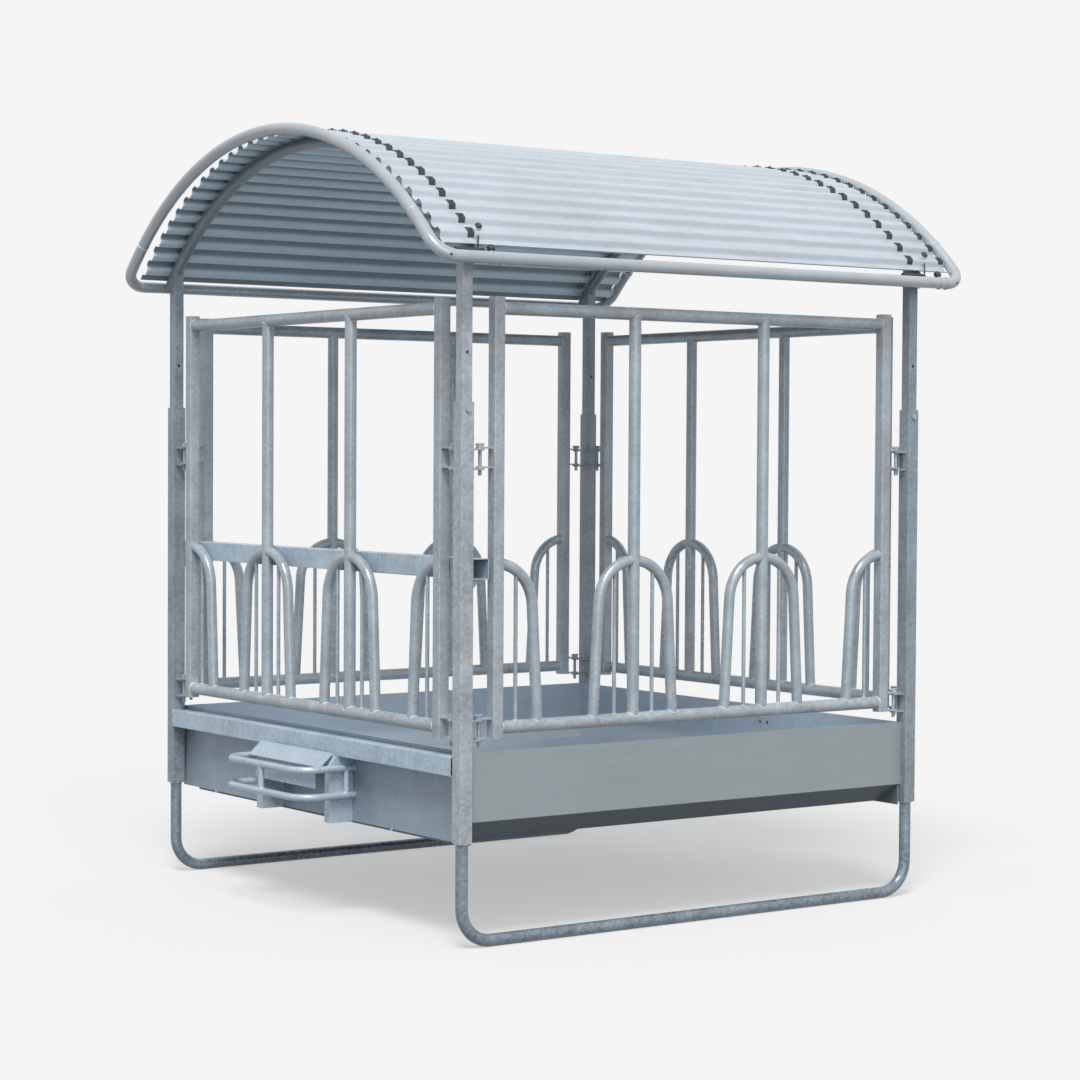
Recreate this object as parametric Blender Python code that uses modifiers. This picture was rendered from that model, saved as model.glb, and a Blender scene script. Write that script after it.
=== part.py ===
"""Covered square bale feeder: a sheet trough on two skids, a post sleeve at each corner,
four hinged feed fronts with arched bars, and a corrugated barrel roof on telescopic posts.

Metres, +Z up. The origin is on the ground under the middle of the trough, X runs along the
roof's barrel, the hitch is at the -X end and the near side is at -Y.
"""

import math

import bmesh
import bpy
from mathutils import Matrix, Vector

# Whole feeder
POST_SPACING = 2.0
GAP = 0.0003

# Sleeves, the square tubes at the four corners
SLEEVE_SIDE = 0.050
SLEEVE_WALL = 0.003
SLEEVE_BOTTOM = 0.3536
SLEEVE_TOP = 1.8158

# Roof posts, which slide in the sleeves, and the clamp screws that hold them
POST_SIDE = 0.040
POST_WALL = 0.003
POST_INSERTION = 0.460
POST_HOLE_DIAMETER = 0.011
POST_HOLE_ABOVE_SLEEVE = 0.162
CLAMP_SCREW_DIAMETER = 0.010
CLAMP_HEAD_ACROSS = 0.018
CLAMP_HEAD_HEIGHT = 0.007
CLAMP_BELOW_TOP = 0.026
CLAMP_HOLE_CLEARANCE = 0.0004

# Skids, one bent tube under each long side
SKID_TUBE = 0.0424
SKID_BEND_RADIUS = 0.115
SKID_INSERTION = 0.100

# Trough
TROUGH_SHEET = 0.003
TROUGH_RIM_HEIGHT = 0.653
TROUGH_FLOOR_HEIGHT = 0.345
TROUGH_SIDE_DEPTH = 0.233
TROUGH_CHAMFER_WIDTH = 0.120
END_WALL_FROM_SLEEVE = 0.0093
END_PANEL_LIP = 0.002
FLOOR_PLATE_LENGTH = 0.470
FLOOR_PLATE_THICKNESS = 0.009
FLOOR_PLATE_INSET = 0.004
VENT_HOLE_DIAMETER = 0.014
VENT_HOLE_BELOW_RIM = 0.067
VENT_HOLE_SPACING = 0.042
VENT_HOLE_OFFSET = -0.226

# End rails, square tubes between the sleeves at the trough's ends
RAIL_SIDE = 0.065
RAIL_WALL = 0.003
RAIL_TOP_BELOW_RIM = 0.013

# Hitch bracket and its double drawbar loop
BRACKET_TUBE_WIDTH = 0.040
BRACKET_TUBE_DEPTH = 0.094
BRACKET_TUBE_HEIGHT = 0.235
BRACKET_SPACING = 0.480
BRACKET_SLOPE_DROP = 0.035
BRACKET_SLOPE_RUN = 0.022
COVER_PLATE_WIDTH = 0.500
COVER_PLATE_THICKNESS = 0.005
LOOP_BAR = 0.025
LOOP_REACH = 0.224
LOOP_BEND_RADIUS = 0.080
LOOP_UPPER_HEIGHT = 0.533
LOOP_LOWER_HEIGHT = 0.437
LOOP_STUB = 0.022
LOOP_STUB_FROM_PANEL = 0.035

# Cross beam between the sleeves at the hitch end
BEAM_HEIGHT = 0.070
BEAM_WIDTH = 0.065
BEAM_WALL = 0.003
BEAM_BOTTOM = 1.228
BEAM_PAST_POST = 0.020
GUSSET_SIZE = 0.045
GUSSET_THICKNESS = 0.005

# Hinge pins and the plates that carry them
PIN_DIAMETER = 0.0125
PIN_HOLE_CLEARANCE = 0.0005
PIN_FROM_SLEEVE = 0.040
PIN_TO_UPRIGHT = 0.045
PIN_TAIL = 0.018
PIN_COLLAR_DIAMETER = 0.022
PIN_COLLAR_HEIGHT = 0.005
PIN_HANDLE_DIAMETER = 0.009
PIN_HANDLE_LENGTH = 0.036
PIN_HANDLE_RISE = 0.0027
LUG_RADIUS = 0.015
LUG_THICKNESS = 0.006
LUG_SPACING = 0.065
UPPER_LUG_HEIGHT = 0.900
WEB_WIDTH = 0.024
WEB_THICKNESS = 0.006

# Feed fronts
GATE_ABOVE_RIM = 0.0436
GATE_HEIGHT = 1.4693
UPRIGHT_SIDE = 0.042
GATE_RAIL = 0.0445
TOP_RAIL_FROM_TOP = 0.0372
BOTTOM_RAIL_FROM_BOTTOM = 0.035
PLACES_PER_GATE = 3
LONG_BAR = 0.0424
ARCH_TUBE = 0.038
ARCH_CROWN_RADIUS = 0.150
ARCH_HEIGHT = 0.583
ARCH_FOOT_HALF_WIDTH = 0.1725
THIN_BAR = 0.014
THIN_BAR_OFFSET = 0.082

# Roof
ROOF_TUBE = 0.0424
ROOF_RADIUS = 1.458
EAVE_OVERHANG = 0.100
EAVE_HEIGHT = 2.285
END_HOOP_OVERHANG = 0.170
ROOF_CORNER_RADIUS = 0.080
INNER_HOOP_DROP = 0.034
SHEET_THICKNESS = 0.001
SHEET_RIB_HEIGHT = 0.019
SHEET_PITCH = 0.0750
SHEET_CREST_SHARE = 0.30
SHEET_FLANK_SHARE = 0.18
SHEET_TO_HITCH_HOOP = 0.0438
SHEET_TO_FAR_HOOP = 0.006
SHEET_TO_EAVE = 0.042
SHEET_CORNER_CLEARANCE = 0.004

# Facets
TUBE_SIDES = 10
BAR_SIDES = 8
THIN_SIDES = 6
CUTTER_SIDES = 24
CROWN_STEPS = 12
BEND_STEPS = 5
HOOP_STEPS = 16
TIP_STEPS = 4

# Places that follow from the sizes above
POST_PLACE = POST_SPACING / 2
GATE_BOTTOM = TROUGH_RIM_HEIGHT + GATE_ABOVE_RIM
SLEEVE_FACE = POST_PLACE - SLEEVE_SIDE / 2
PIN_PLACE = SLEEVE_FACE - PIN_FROM_SLEEVE
UPRIGHT_PLACE = PIN_PLACE - PIN_TO_UPRIGHT - UPRIGHT_SIDE / 2
ARCH_PITCH = 2 * UPRIGHT_PLACE / PLACES_PER_GATE
BOTTOM_RAIL_HEIGHT = GATE_BOTTOM + BOTTOM_RAIL_FROM_BOTTOM
TOP_RAIL_HEIGHT = GATE_BOTTOM + GATE_HEIGHT - TOP_RAIL_FROM_TOP
CROWN_CENTRE_HEIGHT = GATE_BOTTOM + ARCH_HEIGHT - ARCH_CROWN_RADIUS
LUG_HEIGHTS = (GATE_BOTTOM, GATE_BOTTOM + UPPER_LUG_HEIGHT)
# The faceted holes clear the faceted pins at any turn
PIN_HOLE = (PIN_DIAMETER + 2 * PIN_HOLE_CLEARANCE) / math.cos(math.pi / BAR_SIDES)
END_WALL = SLEEVE_FACE - END_WALL_FROM_SLEEVE
RAIL_TOP = TROUGH_RIM_HEIGHT - RAIL_TOP_BELOW_RIM
EAVE_PLACE = POST_PLACE + EAVE_OVERHANG
EAVE_ANGLE = math.asin(EAVE_PLACE / ROOF_RADIUS)
ROOF_CENTRE_HEIGHT = EAVE_HEIGHT - ROOF_RADIUS * math.cos(EAVE_ANGLE)
END_HOOP_PLACE = POST_PLACE + END_HOOP_OVERHANG
INNER_HOOP_RADIUS = ROOF_RADIUS - INNER_HOOP_DROP
HOOP_CROWN = ROOF_TUBE / 2 * math.cos(math.pi / TUBE_SIDES)
SHEET_RADIUS = INNER_HOOP_RADIUS + HOOP_CROWN + GAP

# Which side of the drawn surface a sheet's thickness is on, by the direction of its normals
TROUGH_INWARD = 1
SHEET_OUTWARD = 1

# The corners by name, as signs along X and Y
CORNERS = {"near": (-1, -1), "right": (1, -1), "back": (1, 1), "left": (-1, 1)}
# The feed fronts by name, each a quarter turn on from the one before
GATES = ("near", "right", "far", "hitch")


def clear_scene():
    for item in list(bpy.data.objects):
        bpy.data.objects.remove(item, do_unlink=True)


def new_collection(name, hidden=False):
    made = bpy.data.collections.new(name)
    made.hide_render = hidden
    bpy.context.scene.collection.children.link(made)
    return made


def steel(name, colour, roughness, metallic=0.85):
    material = bpy.data.materials.new(name)
    material.use_nodes = True
    shader = material.node_tree.nodes["Principled BSDF"]
    shader.inputs["Base Color"].default_value = (*colour, 1)
    shader.inputs["Roughness"].default_value = roughness
    shader.inputs["Metallic"].default_value = metallic
    return material


def make_object(name, data, collection, material=None):
    made = bpy.data.objects.new(name, data)
    collection.objects.link(made)
    if material:
        data.materials.clear()
        data.materials.append(material)
    return made


def helper(data):
    """A shape that is only cut from others or joined to them."""
    made = make_object("helper", data, helpers)
    made.hide_render = True
    made.display_type = "WIRE"
    return made


def mesh_from(build):
    """A mesh that the function build fills."""
    shape = bmesh.new()
    build(shape)
    mesh = bpy.data.meshes.new("mesh")
    shape.to_mesh(mesh)
    shape.free()
    return mesh


def box(low, high):
    """A box between two corners."""
    low, high = Vector(low), Vector(high)
    place = Matrix.Translation((low + high) / 2) @ Matrix.Diagonal((*(high - low), 1))
    return helper(mesh_from(lambda shape: bmesh.ops.create_cube(shape, size=1, matrix=place)))


def rod(start, end, diameter, sides=BAR_SIDES):
    """A round bar from one point to another."""
    start, end = Vector(start), Vector(end)
    turn = (end - start).to_track_quat("Z", "Y").to_matrix().to_4x4()
    place = Matrix.Translation((start + end) / 2) @ turn

    def build(shape):
        bmesh.ops.create_cone(
            shape,
            cap_ends=True,
            segments=sides,
            radius1=diameter / 2,
            radius2=diameter / 2,
            depth=(end - start).length,
            matrix=place,
        )

    return helper(mesh_from(build))


def spline(curve, points, cyclic):
    made = curve.splines.new("POLY")
    made.points.add(len(points) - 1)
    for slot, point in zip(made.points, points):
        slot.co = (*point, 1)
    made.use_cyclic_u = cyclic


def tube_curve(points, diameter, sides, cyclic=False):
    """A tube along a path, as curve data with filled caps."""
    curve = bpy.data.curves.new("tube", "CURVE")
    curve.dimensions = "3D"
    curve.bevel_depth = diameter / 2
    curve.bevel_resolution = (sides - 4) // 2
    curve.use_fill_caps = True
    spline(curve, [Vector(point) for point in points], cyclic)
    return curve


def plate_curve(outlines, thickness):
    """A flat plate from closed outlines in X and Y, where an inner outline is a hole."""
    curve = bpy.data.curves.new("plate", "CURVE")
    curve.dimensions = "2D"
    curve.fill_mode = "BOTH"
    curve.extrude = thickness / 2
    for outline in outlines:
        spline(curve, [(x, y, 0) for x, y in outline], True)
    return curve


def baked(item):
    """The object's evaluated shape as a new mesh in world space, and the object removed."""
    bpy.context.view_layer.update()
    graph = bpy.context.evaluated_depsgraph_get()
    mesh = bpy.data.meshes.new_from_object(item.evaluated_get(graph))
    mesh.transform(item.matrix_world)
    shape = bmesh.new()
    shape.from_mesh(mesh)
    bmesh.ops.remove_doubles(shape, verts=shape.verts, dist=1e-6)
    bmesh.ops.recalc_face_normals(shape, faces=shape.faces)
    shape.to_mesh(mesh)
    shape.free()
    bpy.data.objects.remove(item, do_unlink=True)
    return mesh


def tube(points, diameter, sides=TUBE_SIDES, cyclic=False):
    return helper(baked(helper(tube_curve(points, diameter, sides, cyclic))))


def plate(outlines, thickness, bottom):
    """A level plate whose underside is at the height bottom."""
    made = helper(plate_curve(outlines, thickness))
    made.location.z = bottom + thickness / 2
    return helper(baked(made))


def upright_plate(outline, low, high):
    """A plate from an outline in X and Z, between two places along Y."""
    made = helper(plate_curve([outline], high - low))
    made.rotation_euler = (math.pi / 2, 0, 0)
    made.location.y = (low + high) / 2
    return helper(baked(made))


def combined(first, others, operation):
    """The first helper joined with the others or cut by them, as one mesh helper."""
    for other in others:
        step = first.modifiers.new("step", "BOOLEAN")
        step.operation = operation
        step.solver = "EXACT"
        step.object = other
    return helper(baked(first))


def joined(pieces):
    made = combined(pieces[0], pieces[1:], "UNION")
    for piece in pieces[1:]:
        bpy.data.objects.remove(piece, do_unlink=True)
    return made


def cut(piece, cutters):
    return combined(piece, cutters, "DIFFERENCE")


def drop(items):
    for item in items:
        bpy.data.objects.remove(item, do_unlink=True)


def square_tube(side_x, side_y, wall, bottom, top):
    """An upright square tube about the Z axis, open at both ends."""
    outer = box((-side_x / 2, -side_y / 2, bottom), (side_x / 2, side_y / 2, top))
    bore_x, bore_y = side_x / 2 - wall, side_y / 2 - wall
    bore = box((-bore_x, -bore_y, bottom - wall), (bore_x, bore_y, top + wall))
    made = cut(outer, [bore])
    drop([bore])
    return made


def arc(centre, radius, start, end, steps):
    """Points round an arc in a plane, from one angle to another."""
    angles = [start + (end - start) * step / steps for step in range(steps + 1)]
    return [(centre[0] + radius * math.cos(a), centre[1] + radius * math.sin(a)) for a in angles]


def circle(centre, diameter, sides=BAR_SIDES):
    return arc(centre, diameter / 2, 0, 2 * math.pi * (1 - 1 / sides), sides - 1)


def finish(piece, name, material, origin=(0, 0, 0), parent=None):
    """Turns a helper into a named piece whose origin is on the point given."""
    mesh = piece.data
    mesh.transform(Matrix.Translation(-Vector(origin)))
    mesh.name = name
    bpy.data.objects.remove(piece, do_unlink=True)
    made = make_object(name, mesh, feeder, material)
    mesh.shade_smooth()
    mesh.set_sharp_from_angle(angle=math.radians(40))
    made.location = origin
    if parent:
        made.parent = parent
        made.location = Vector(origin) - parent.location
    return made


def vent_cutters():
    """Rods through the far end panel and the near wall of the rail behind it."""
    rods = []
    for shift in (-0.5, 0.5):
        y = VENT_HOLE_OFFSET + shift * VENT_HOLE_SPACING
        z = TROUGH_RIM_HEIGHT - VENT_HOLE_BELOW_RIM
        ends = [(END_WALL + reach, y, z) for reach in (-RAIL_SIDE / 2, RAIL_SIDE / 2)]
        rods.append(rod(*ends, VENT_HOLE_DIAMETER))
    return rods


def make_trough():
    """The open tray: sides, sloped lower sides and floor in one bent sheet, with end panels
    and a plate under the floor at the hitch end.
    """
    length = 2 * (SLEEVE_FACE - GAP)
    half = POST_PLACE
    bend = TROUGH_RIM_HEIGHT - TROUGH_SIDE_DEPTH
    floor_half = half - TROUGH_CHAMFER_WIDTH
    profile = [
        (-half, TROUGH_RIM_HEIGHT),
        (-half, bend),
        (-floor_half, TROUGH_FLOOR_HEIGHT),
        (floor_half, TROUGH_FLOOR_HEIGHT),
        (half, bend),
        (half, TROUGH_RIM_HEIGHT),
    ]

    def build(shape):
        verts = [shape.verts.new((-length / 2, y, z)) for y, z in profile]
        edges = [shape.edges.new(pair) for pair in zip(verts, verts[1:])]
        swept = bmesh.ops.extrude_edge_only(shape, edges=edges)["geom"]
        moved = [item for item in swept if isinstance(item, bmesh.types.BMVert)]
        bmesh.ops.translate(shape, verts=moved, vec=(length, 0, 0))

    body = helper(mesh_from(build))
    shell = body.modifiers.new("shell", "SOLIDIFY")
    shell.thickness = TROUGH_SHEET
    shell.offset = TROUGH_INWARD
    shell.use_even_offset = True
    body = helper(baked(body))
    panels, cutters = [], []
    reach = half - TROUGH_SHEET / 2
    for side in (-1, 1):
        low, high = sorted((side * END_WALL, side * (END_WALL - TROUGH_SHEET)))
        bottom = TROUGH_FLOOR_HEIGHT - END_PANEL_LIP
        panels.append(box((low, -reach, bottom), (high, reach, TROUGH_RIM_HEIGHT)))
        low, high = sorted((side * (END_WALL - TROUGH_SHEET / 2), side * POST_SPACING))
        cutters.append(box((low, -POST_SPACING, 0), (high, POST_SPACING, bend - TROUGH_SHEET)))
    body = cut(body, cutters)
    drop(cutters)
    start = TROUGH_SHEET / 2 - END_WALL
    edge = floor_half - FLOOR_PLATE_INSET
    low = (start, -edge, TROUGH_FLOOR_HEIGHT - FLOOR_PLATE_THICKNESS)
    high = (start + FLOOR_PLATE_LENGTH, edge, TROUGH_FLOOR_HEIGHT + TROUGH_SHEET / 2)
    body = joined([body, *panels, box(low, high)])
    vents = vent_cutters()
    body = cut(body, vents)
    drop(vents)
    finish(body, "trough_tray", trough_steel)


def make_end_rails():
    for name, side in (("trough_rail_hitch", -1), ("trough_rail_far", 1)):
        length = 2 * (SLEEVE_FACE - GAP)
        rail = square_tube(RAIL_SIDE, RAIL_SIDE, RAIL_WALL, -length / 2, length / 2)
        rail.rotation_euler = (math.pi / 2, 0, 0)
        x = side * (END_WALL + GAP + RAIL_SIDE / 2)
        rail.location = (x, 0, RAIL_TOP - RAIL_SIDE / 2)
        rail = helper(baked(rail))
        if side > 0:
            vents = vent_cutters()
            rail = cut(rail, vents)
            drop(vents)
        finish(rail, name, frame_steel)


def corner_plate(bottom):
    """The plate round a sleeve's inner corner that carries a pin of each neighbouring front."""
    root = SLEEVE_SIDE / 2 - SLEEVE_WALL / 2
    reach = SLEEVE_SIDE / 2 + PIN_FROM_SLEEVE
    eighth = math.pi / 4
    outline = [(root, -LUG_RADIUS)]
    outline += arc((reach, 0), LUG_RADIUS, -2 * eighth, eighth, TIP_STEPS)
    outline += arc((0, reach), LUG_RADIUS, eighth, 4 * eighth, TIP_STEPS)
    outline += [(-LUG_RADIUS, root), (root, root)]
    outlines = [outline, circle((reach, 0), PIN_HOLE), circle((0, reach), PIN_HOLE)]
    return plate(outlines, LUG_THICKNESS, bottom)


def make_sleeves():
    """One sleeve with its pin plates, mirrored to the other corners."""
    body = square_tube(SLEEVE_SIDE, SLEEVE_SIDE, SLEEVE_WALL, SLEEVE_BOTTOM, SLEEVE_TOP)
    pieces = [body]
    for height in LUG_HEIGHTS:
        lower = height - GAP - LUG_THICKNESS
        pieces += [corner_plate(lower), corner_plate(lower + LUG_SPACING)]
        web = box(
            (-WEB_WIDTH / 2, -WEB_THICKNESS / 2, lower + LUG_THICKNESS / 2),
            (WEB_WIDTH / 2, WEB_THICKNESS / 2, lower + LUG_SPACING + LUG_THICKNESS / 2),
        )
        web.location = (SLEEVE_SIDE / 2, SLEEVE_SIDE / 2, 0)
        web.rotation_euler.z = -math.pi / 4
        pieces.append(helper(baked(web)))
    body = joined(pieces)
    screw_height = SLEEVE_TOP - CLAMP_BELOW_TOP
    hole_size = CLAMP_SCREW_DIAMETER + 2 * CLAMP_HOLE_CLEARANCE
    hole = rod((0, -SLEEVE_SIDE, screw_height), (0, 0, screw_height), hole_size)
    bore_half = SLEEVE_SIDE / 2 - SLEEVE_WALL
    bore = box((-bore_half, -bore_half, 0), (bore_half, bore_half, 2 * SLEEVE_TOP))
    body = cut(body, [hole, bore])
    drop([hole, bore])
    mesh = finish(body, "sleeve_near", sleeve_steel).data
    for name, (sign_x, sign_y) in CORNERS.items():
        label = "sleeve_" + name
        sleeve = bpy.data.objects.get(label) or make_object(label, mesh, feeder)
        sleeve.location = (sign_x * POST_PLACE, sign_y * POST_PLACE, 0)
        sleeve.scale = (-sign_x, -sign_y, 1)


def make_clamp_screws():
    """The screws that clamp the roof posts, in the sleeves' outer faces."""
    tip = POST_SIDE / 2 + GAP
    face = SLEEVE_SIDE / 2
    height = SLEEVE_TOP - CLAMP_BELOW_TOP
    shank = rod((0, -tip, height), (0, -face - CLAMP_HEAD_HEIGHT / 2, height), CLAMP_SCREW_DIAMETER)
    head_start = (0, -face - GAP, height)
    head_end = (0, -face - GAP - CLAMP_HEAD_HEIGHT, height)
    head = rod(head_start, head_end, CLAMP_HEAD_ACROSS / math.cos(math.pi / 6), 6)
    mesh = finish(joined([head, shank]), "clamp_screw_near", fixing_steel).data
    for name, (sign_x, sign_y) in CORNERS.items():
        label = "clamp_screw_" + name
        screw = bpy.data.objects.get(label) or make_object(label, mesh, feeder)
        screw.location = (sign_x * POST_PLACE, sign_y * POST_PLACE, 0)
        screw.scale = (-sign_x, -sign_y, 1)


def bent_path(corners, radius, steps=BEND_STEPS):
    """A path through corner points with its inner corners rounded to one radius."""
    corners = [Vector(corner) for corner in corners]
    path = [corners[0]]
    for before, corner, after in zip(corners, corners[1:], corners[2:]):
        back = (before - corner).normalized()
        ahead = (after - corner).normalized()
        half_angle = back.angle(ahead) / 2
        inset = radius / math.tan(half_angle)
        centre = corner + (back + ahead).normalized() * radius / math.sin(half_angle)
        start = (corner + back * inset - centre).normalized()
        end = (corner + ahead * inset - centre).normalized()
        path += [centre + radius * start.slerp(end, step / steps) for step in range(steps + 1)]
    return path + [corners[-1]]


def make_skids():
    """A tube from sleeve to sleeve under each long side, bent up at both ends."""
    top = SLEEVE_BOTTOM + SKID_INSERTION
    ground = SKID_TUBE / 2
    corners = [
        (-POST_PLACE, 0, top),
        (-POST_PLACE, 0, ground),
        (POST_PLACE, 0, ground),
        (POST_PLACE, 0, top),
    ]
    path = bent_path(corners, SKID_BEND_RADIUS)
    for name, side in (("skid_near", -1), ("skid_far", 1)):
        skid = make_object(name, tube_curve(path, SKID_TUBE, TUBE_SIDES), feeder, skid_steel)
        skid.location.y = side * POST_PLACE


def make_hitch():
    """The bracket on the end panel and the double loop of round bar that it carries."""
    panel = END_WALL + GAP
    front = panel + BRACKET_TUBE_DEPTH
    top = RAIL_TOP - RAIL_SIDE - GAP
    bottom = top - BRACKET_TUBE_HEIGHT
    slope_top = (-front + BRACKET_SLOPE_RUN, top)
    slope_foot = (-front, top - BRACKET_SLOPE_DROP)
    side_view = [(-panel, bottom), (-front, bottom), slope_foot, slope_top, (-panel, top)]
    pieces = []
    for side in (-1, 1):
        middle = side * BRACKET_SPACING / 2
        half = BRACKET_TUBE_WIDTH / 2
        pieces.append(upright_plate(side_view, middle - half, middle + half))
    along = (Vector(slope_top) - Vector(slope_foot)).normalized()
    across = Vector((-along.y, along.x))
    low = Vector(slope_foot) - along * COVER_PLATE_THICKNESS
    high = Vector(slope_top) + along * COVER_PLATE_THICKNESS
    skin = across * COVER_PLATE_THICKNESS
    sunk = across * -COVER_PLATE_THICKNESS / 5
    cover = [tuple(point) for point in (low + sunk, high + sunk, high + skin, low + skin)]
    pieces.append(upright_plate(cover, -COVER_PLATE_WIDTH / 2, COVER_PLATE_WIDTH / 2))
    finish(joined(pieces), "hitch_bracket", hitch_steel)

    leg = BRACKET_SPACING / 2 + BRACKET_TUBE_WIDTH / 2 + GAP + LOOP_BAR / 2
    loop = []
    for height in (LOOP_UPPER_HEIGHT, LOOP_LOWER_HEIGHT):
        corners = [
            (-panel, -leg, height),
            (-panel - LOOP_REACH, -leg, height),
            (-panel - LOOP_REACH, leg, height),
            (-panel, leg, height),
        ]
        loop.append(tube(bent_path(corners, LOOP_BEND_RADIUS), LOOP_BAR, BAR_SIDES))
    for x, y in (
        (-panel - LOOP_REACH, 0),
        (-panel - LOOP_STUB_FROM_PANEL, -leg),
        (-panel - LOOP_STUB_FROM_PANEL, leg),
    ):
        loop.append(rod((x, y, LOOP_LOWER_HEIGHT), (x, y, LOOP_UPPER_HEIGHT), LOOP_STUB))
    finish(joined(loop), "hitch_loop", hitch_steel)


def make_cross_beam():
    """The beam on the inner faces of the two hitch-end sleeves, open at both ends."""
    length = POST_SPACING + 2 * BEAM_PAST_POST
    beam = square_tube(BEAM_WIDTH, BEAM_HEIGHT, BEAM_WALL, -length / 2, length / 2)
    beam.rotation_euler = (math.pi / 2, 0, 0)
    inner = -(SLEEVE_FACE - GAP)
    beam.location = (inner + BEAM_WIDTH / 2, 0, BEAM_BOTTOM + BEAM_HEIGHT / 2)
    pieces = [helper(baked(beam))]
    root = BEAM_BOTTOM + BEAM_WALL / 2
    triangle = [(inner, root), (inner + GUSSET_SIZE, root), (inner, BEAM_BOTTOM - GUSSET_SIZE)]
    for side in (-1, 1):
        middle = side * POST_PLACE
        low = middle - GUSSET_THICKNESS / 2
        pieces.append(upright_plate(triangle, low, low + GUSSET_THICKNESS))
    finish(joined(pieces), "cross_beam", frame_steel)


def pin_shape():
    """A drop pin with a collar and a cross handle, its shaft on the local Z axis."""
    lower = -GAP - LUG_THICKNESS - PIN_TAIL
    seat = LUG_SPACING + LUG_THICKNESS + GAP
    collar_top = seat + PIN_COLLAR_HEIGHT
    shaft = rod((0, 0, lower), (0, 0, seat + PIN_COLLAR_HEIGHT / 2), PIN_DIAMETER)
    collar = rod((0, 0, seat), (0, 0, collar_top), PIN_COLLAR_DIAMETER)
    handle_height = collar_top + PIN_HANDLE_RISE
    half = PIN_HANDLE_LENGTH / 2
    ends = [(end, 0, handle_height) for end in (-half, half)]
    handle = rod(*ends, PIN_HANDLE_DIAMETER, THIN_SIDES)
    return joined([collar, shaft, handle])


def make_pins():
    """Two hinge pins and two latch pins for each front, all alike."""
    mesh = None
    for turns, gate in enumerate(GATES):
        turn = Matrix.Rotation(turns * math.pi / 2, 4, "Z")
        for use, side in (("hinge", -1), ("latch", 1)):
            for level, height in zip(("lower", "upper"), LUG_HEIGHTS):
                name = f"gate_{gate}_{use}_pin_{level}"
                if mesh is None:
                    pin = finish(pin_shape(), name, pin_steel)
                    mesh = pin.data
                else:
                    pin = make_object(name, mesh, feeder)
                place = Matrix.Translation((side * PIN_PLACE, -POST_PLACE, height))
                pin.matrix_world = turn @ place


def lug(side, bottom):
    """A gate's plate at one pin: an eye at the hinge end, a slot open inwards at the latch end."""
    root = side * (UPRIGHT_PLACE + UPRIGHT_SIDE / 2 - LUG_THICKNESS / 2)
    pin = (side * PIN_PLACE, -POST_PLACE)
    low, high = pin[1] - LUG_RADIUS, pin[1] + LUG_RADIUS
    quarter = math.pi / 2
    tip = arc(pin, LUG_RADIUS, -quarter, -quarter + side * 2 * quarter, TIP_STEPS)
    if side < 0:
        outlines = [[(root, low), *tip, (root, high)], circle(pin, PIN_HOLE)]
        return plate(outlines, LUG_THICKNESS, bottom)
    tip = arc(pin, LUG_RADIUS, -quarter, math.acos(PIN_HOLE / 2 / LUG_RADIUS), TIP_STEPS)
    slot = arc(pin, PIN_HOLE / 2, 0, -2 * quarter, TIP_STEPS)
    outline = [(root, low), *tip, *slot, (pin[0] - PIN_HOLE / 2, high), (root, high)]
    return plate([outline], LUG_THICKNESS, bottom)


def gate_frame():
    """Two uprights, two rails and the eight lugs of the near front."""
    y, half = -POST_PLACE, UPRIGHT_SIDE / 2
    top = GATE_BOTTOM + GATE_HEIGHT
    pieces = []
    for side in (-1, 1):
        x = side * UPRIGHT_PLACE
        pieces.append(box((x - half, y - half, GATE_BOTTOM), (x + half, y + half, top)))
    for height in (BOTTOM_RAIL_HEIGHT, TOP_RAIL_HEIGHT):
        ends = [(end, y, height) for end in (-UPRIGHT_PLACE, UPRIGHT_PLACE)]
        pieces.append(rod(*ends, GATE_RAIL, TUBE_SIDES))
    for side in (-1, 1):
        for height in LUG_HEIGHTS:
            pieces += [lug(side, height), lug(side, height + LUG_SPACING)]
    return joined(pieces)


def arch_path(middle, first, last):
    """The arch over one middle line, as a path in the near front's plane.

    The legs run straight and tangent from the crown to the feet on the bottom rail. first and
    last say whether the path has its leg on the -X side and on the +X side.
    """
    drop_to_foot = CROWN_CENTRE_HEIGHT - BOTTOM_RAIL_HEIGHT
    reach = math.hypot(ARCH_FOOT_HALF_WIDTH, drop_to_foot)
    foot_angle = math.atan2(-drop_to_foot, ARCH_FOOT_HALF_WIDTH)
    spring = foot_angle + math.acos(ARCH_CROWN_RADIUS / reach)
    start = math.pi - spring if first else math.pi / 2
    end = spring if last else math.pi / 2
    steps = CROWN_STEPS if first and last else CROWN_STEPS // 2
    crown = arc((middle, CROWN_CENTRE_HEIGHT), ARCH_CROWN_RADIUS, start, end, steps)
    path = [(x, -POST_PLACE, z) for x, z in crown]
    if first:
        path.insert(0, (middle - ARCH_FOOT_HALF_WIDTH, -POST_PLACE, BOTTOM_RAIL_HEIGHT))
    if last:
        path.append((middle + ARCH_FOOT_HALF_WIDTH, -POST_PLACE, BOTTOM_RAIL_HEIGHT))
    return path


def thin_bar(middle, side):
    x = middle + side * THIN_BAR_OFFSET
    rise = math.sqrt(ARCH_CROWN_RADIUS**2 - THIN_BAR_OFFSET**2)
    top = (x, -POST_PLACE, CROWN_CENTRE_HEIGHT + rise)
    return rod((x, -POST_PLACE, BOTTOM_RAIL_HEIGHT), top, THIN_BAR, THIN_SIDES)


def arch_unit(middle):
    """A full arch with the long bar through its crown and a thin bar on each side of that."""
    y = -POST_PLACE
    pieces = [
        rod((middle, y, BOTTOM_RAIL_HEIGHT), (middle, y, TOP_RAIL_HEIGHT), LONG_BAR),
        tube(arch_path(middle, True, True), ARCH_TUBE, BAR_SIDES),
        thin_bar(middle, -1),
        thin_bar(middle, 1),
    ]
    return joined(pieces)


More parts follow.
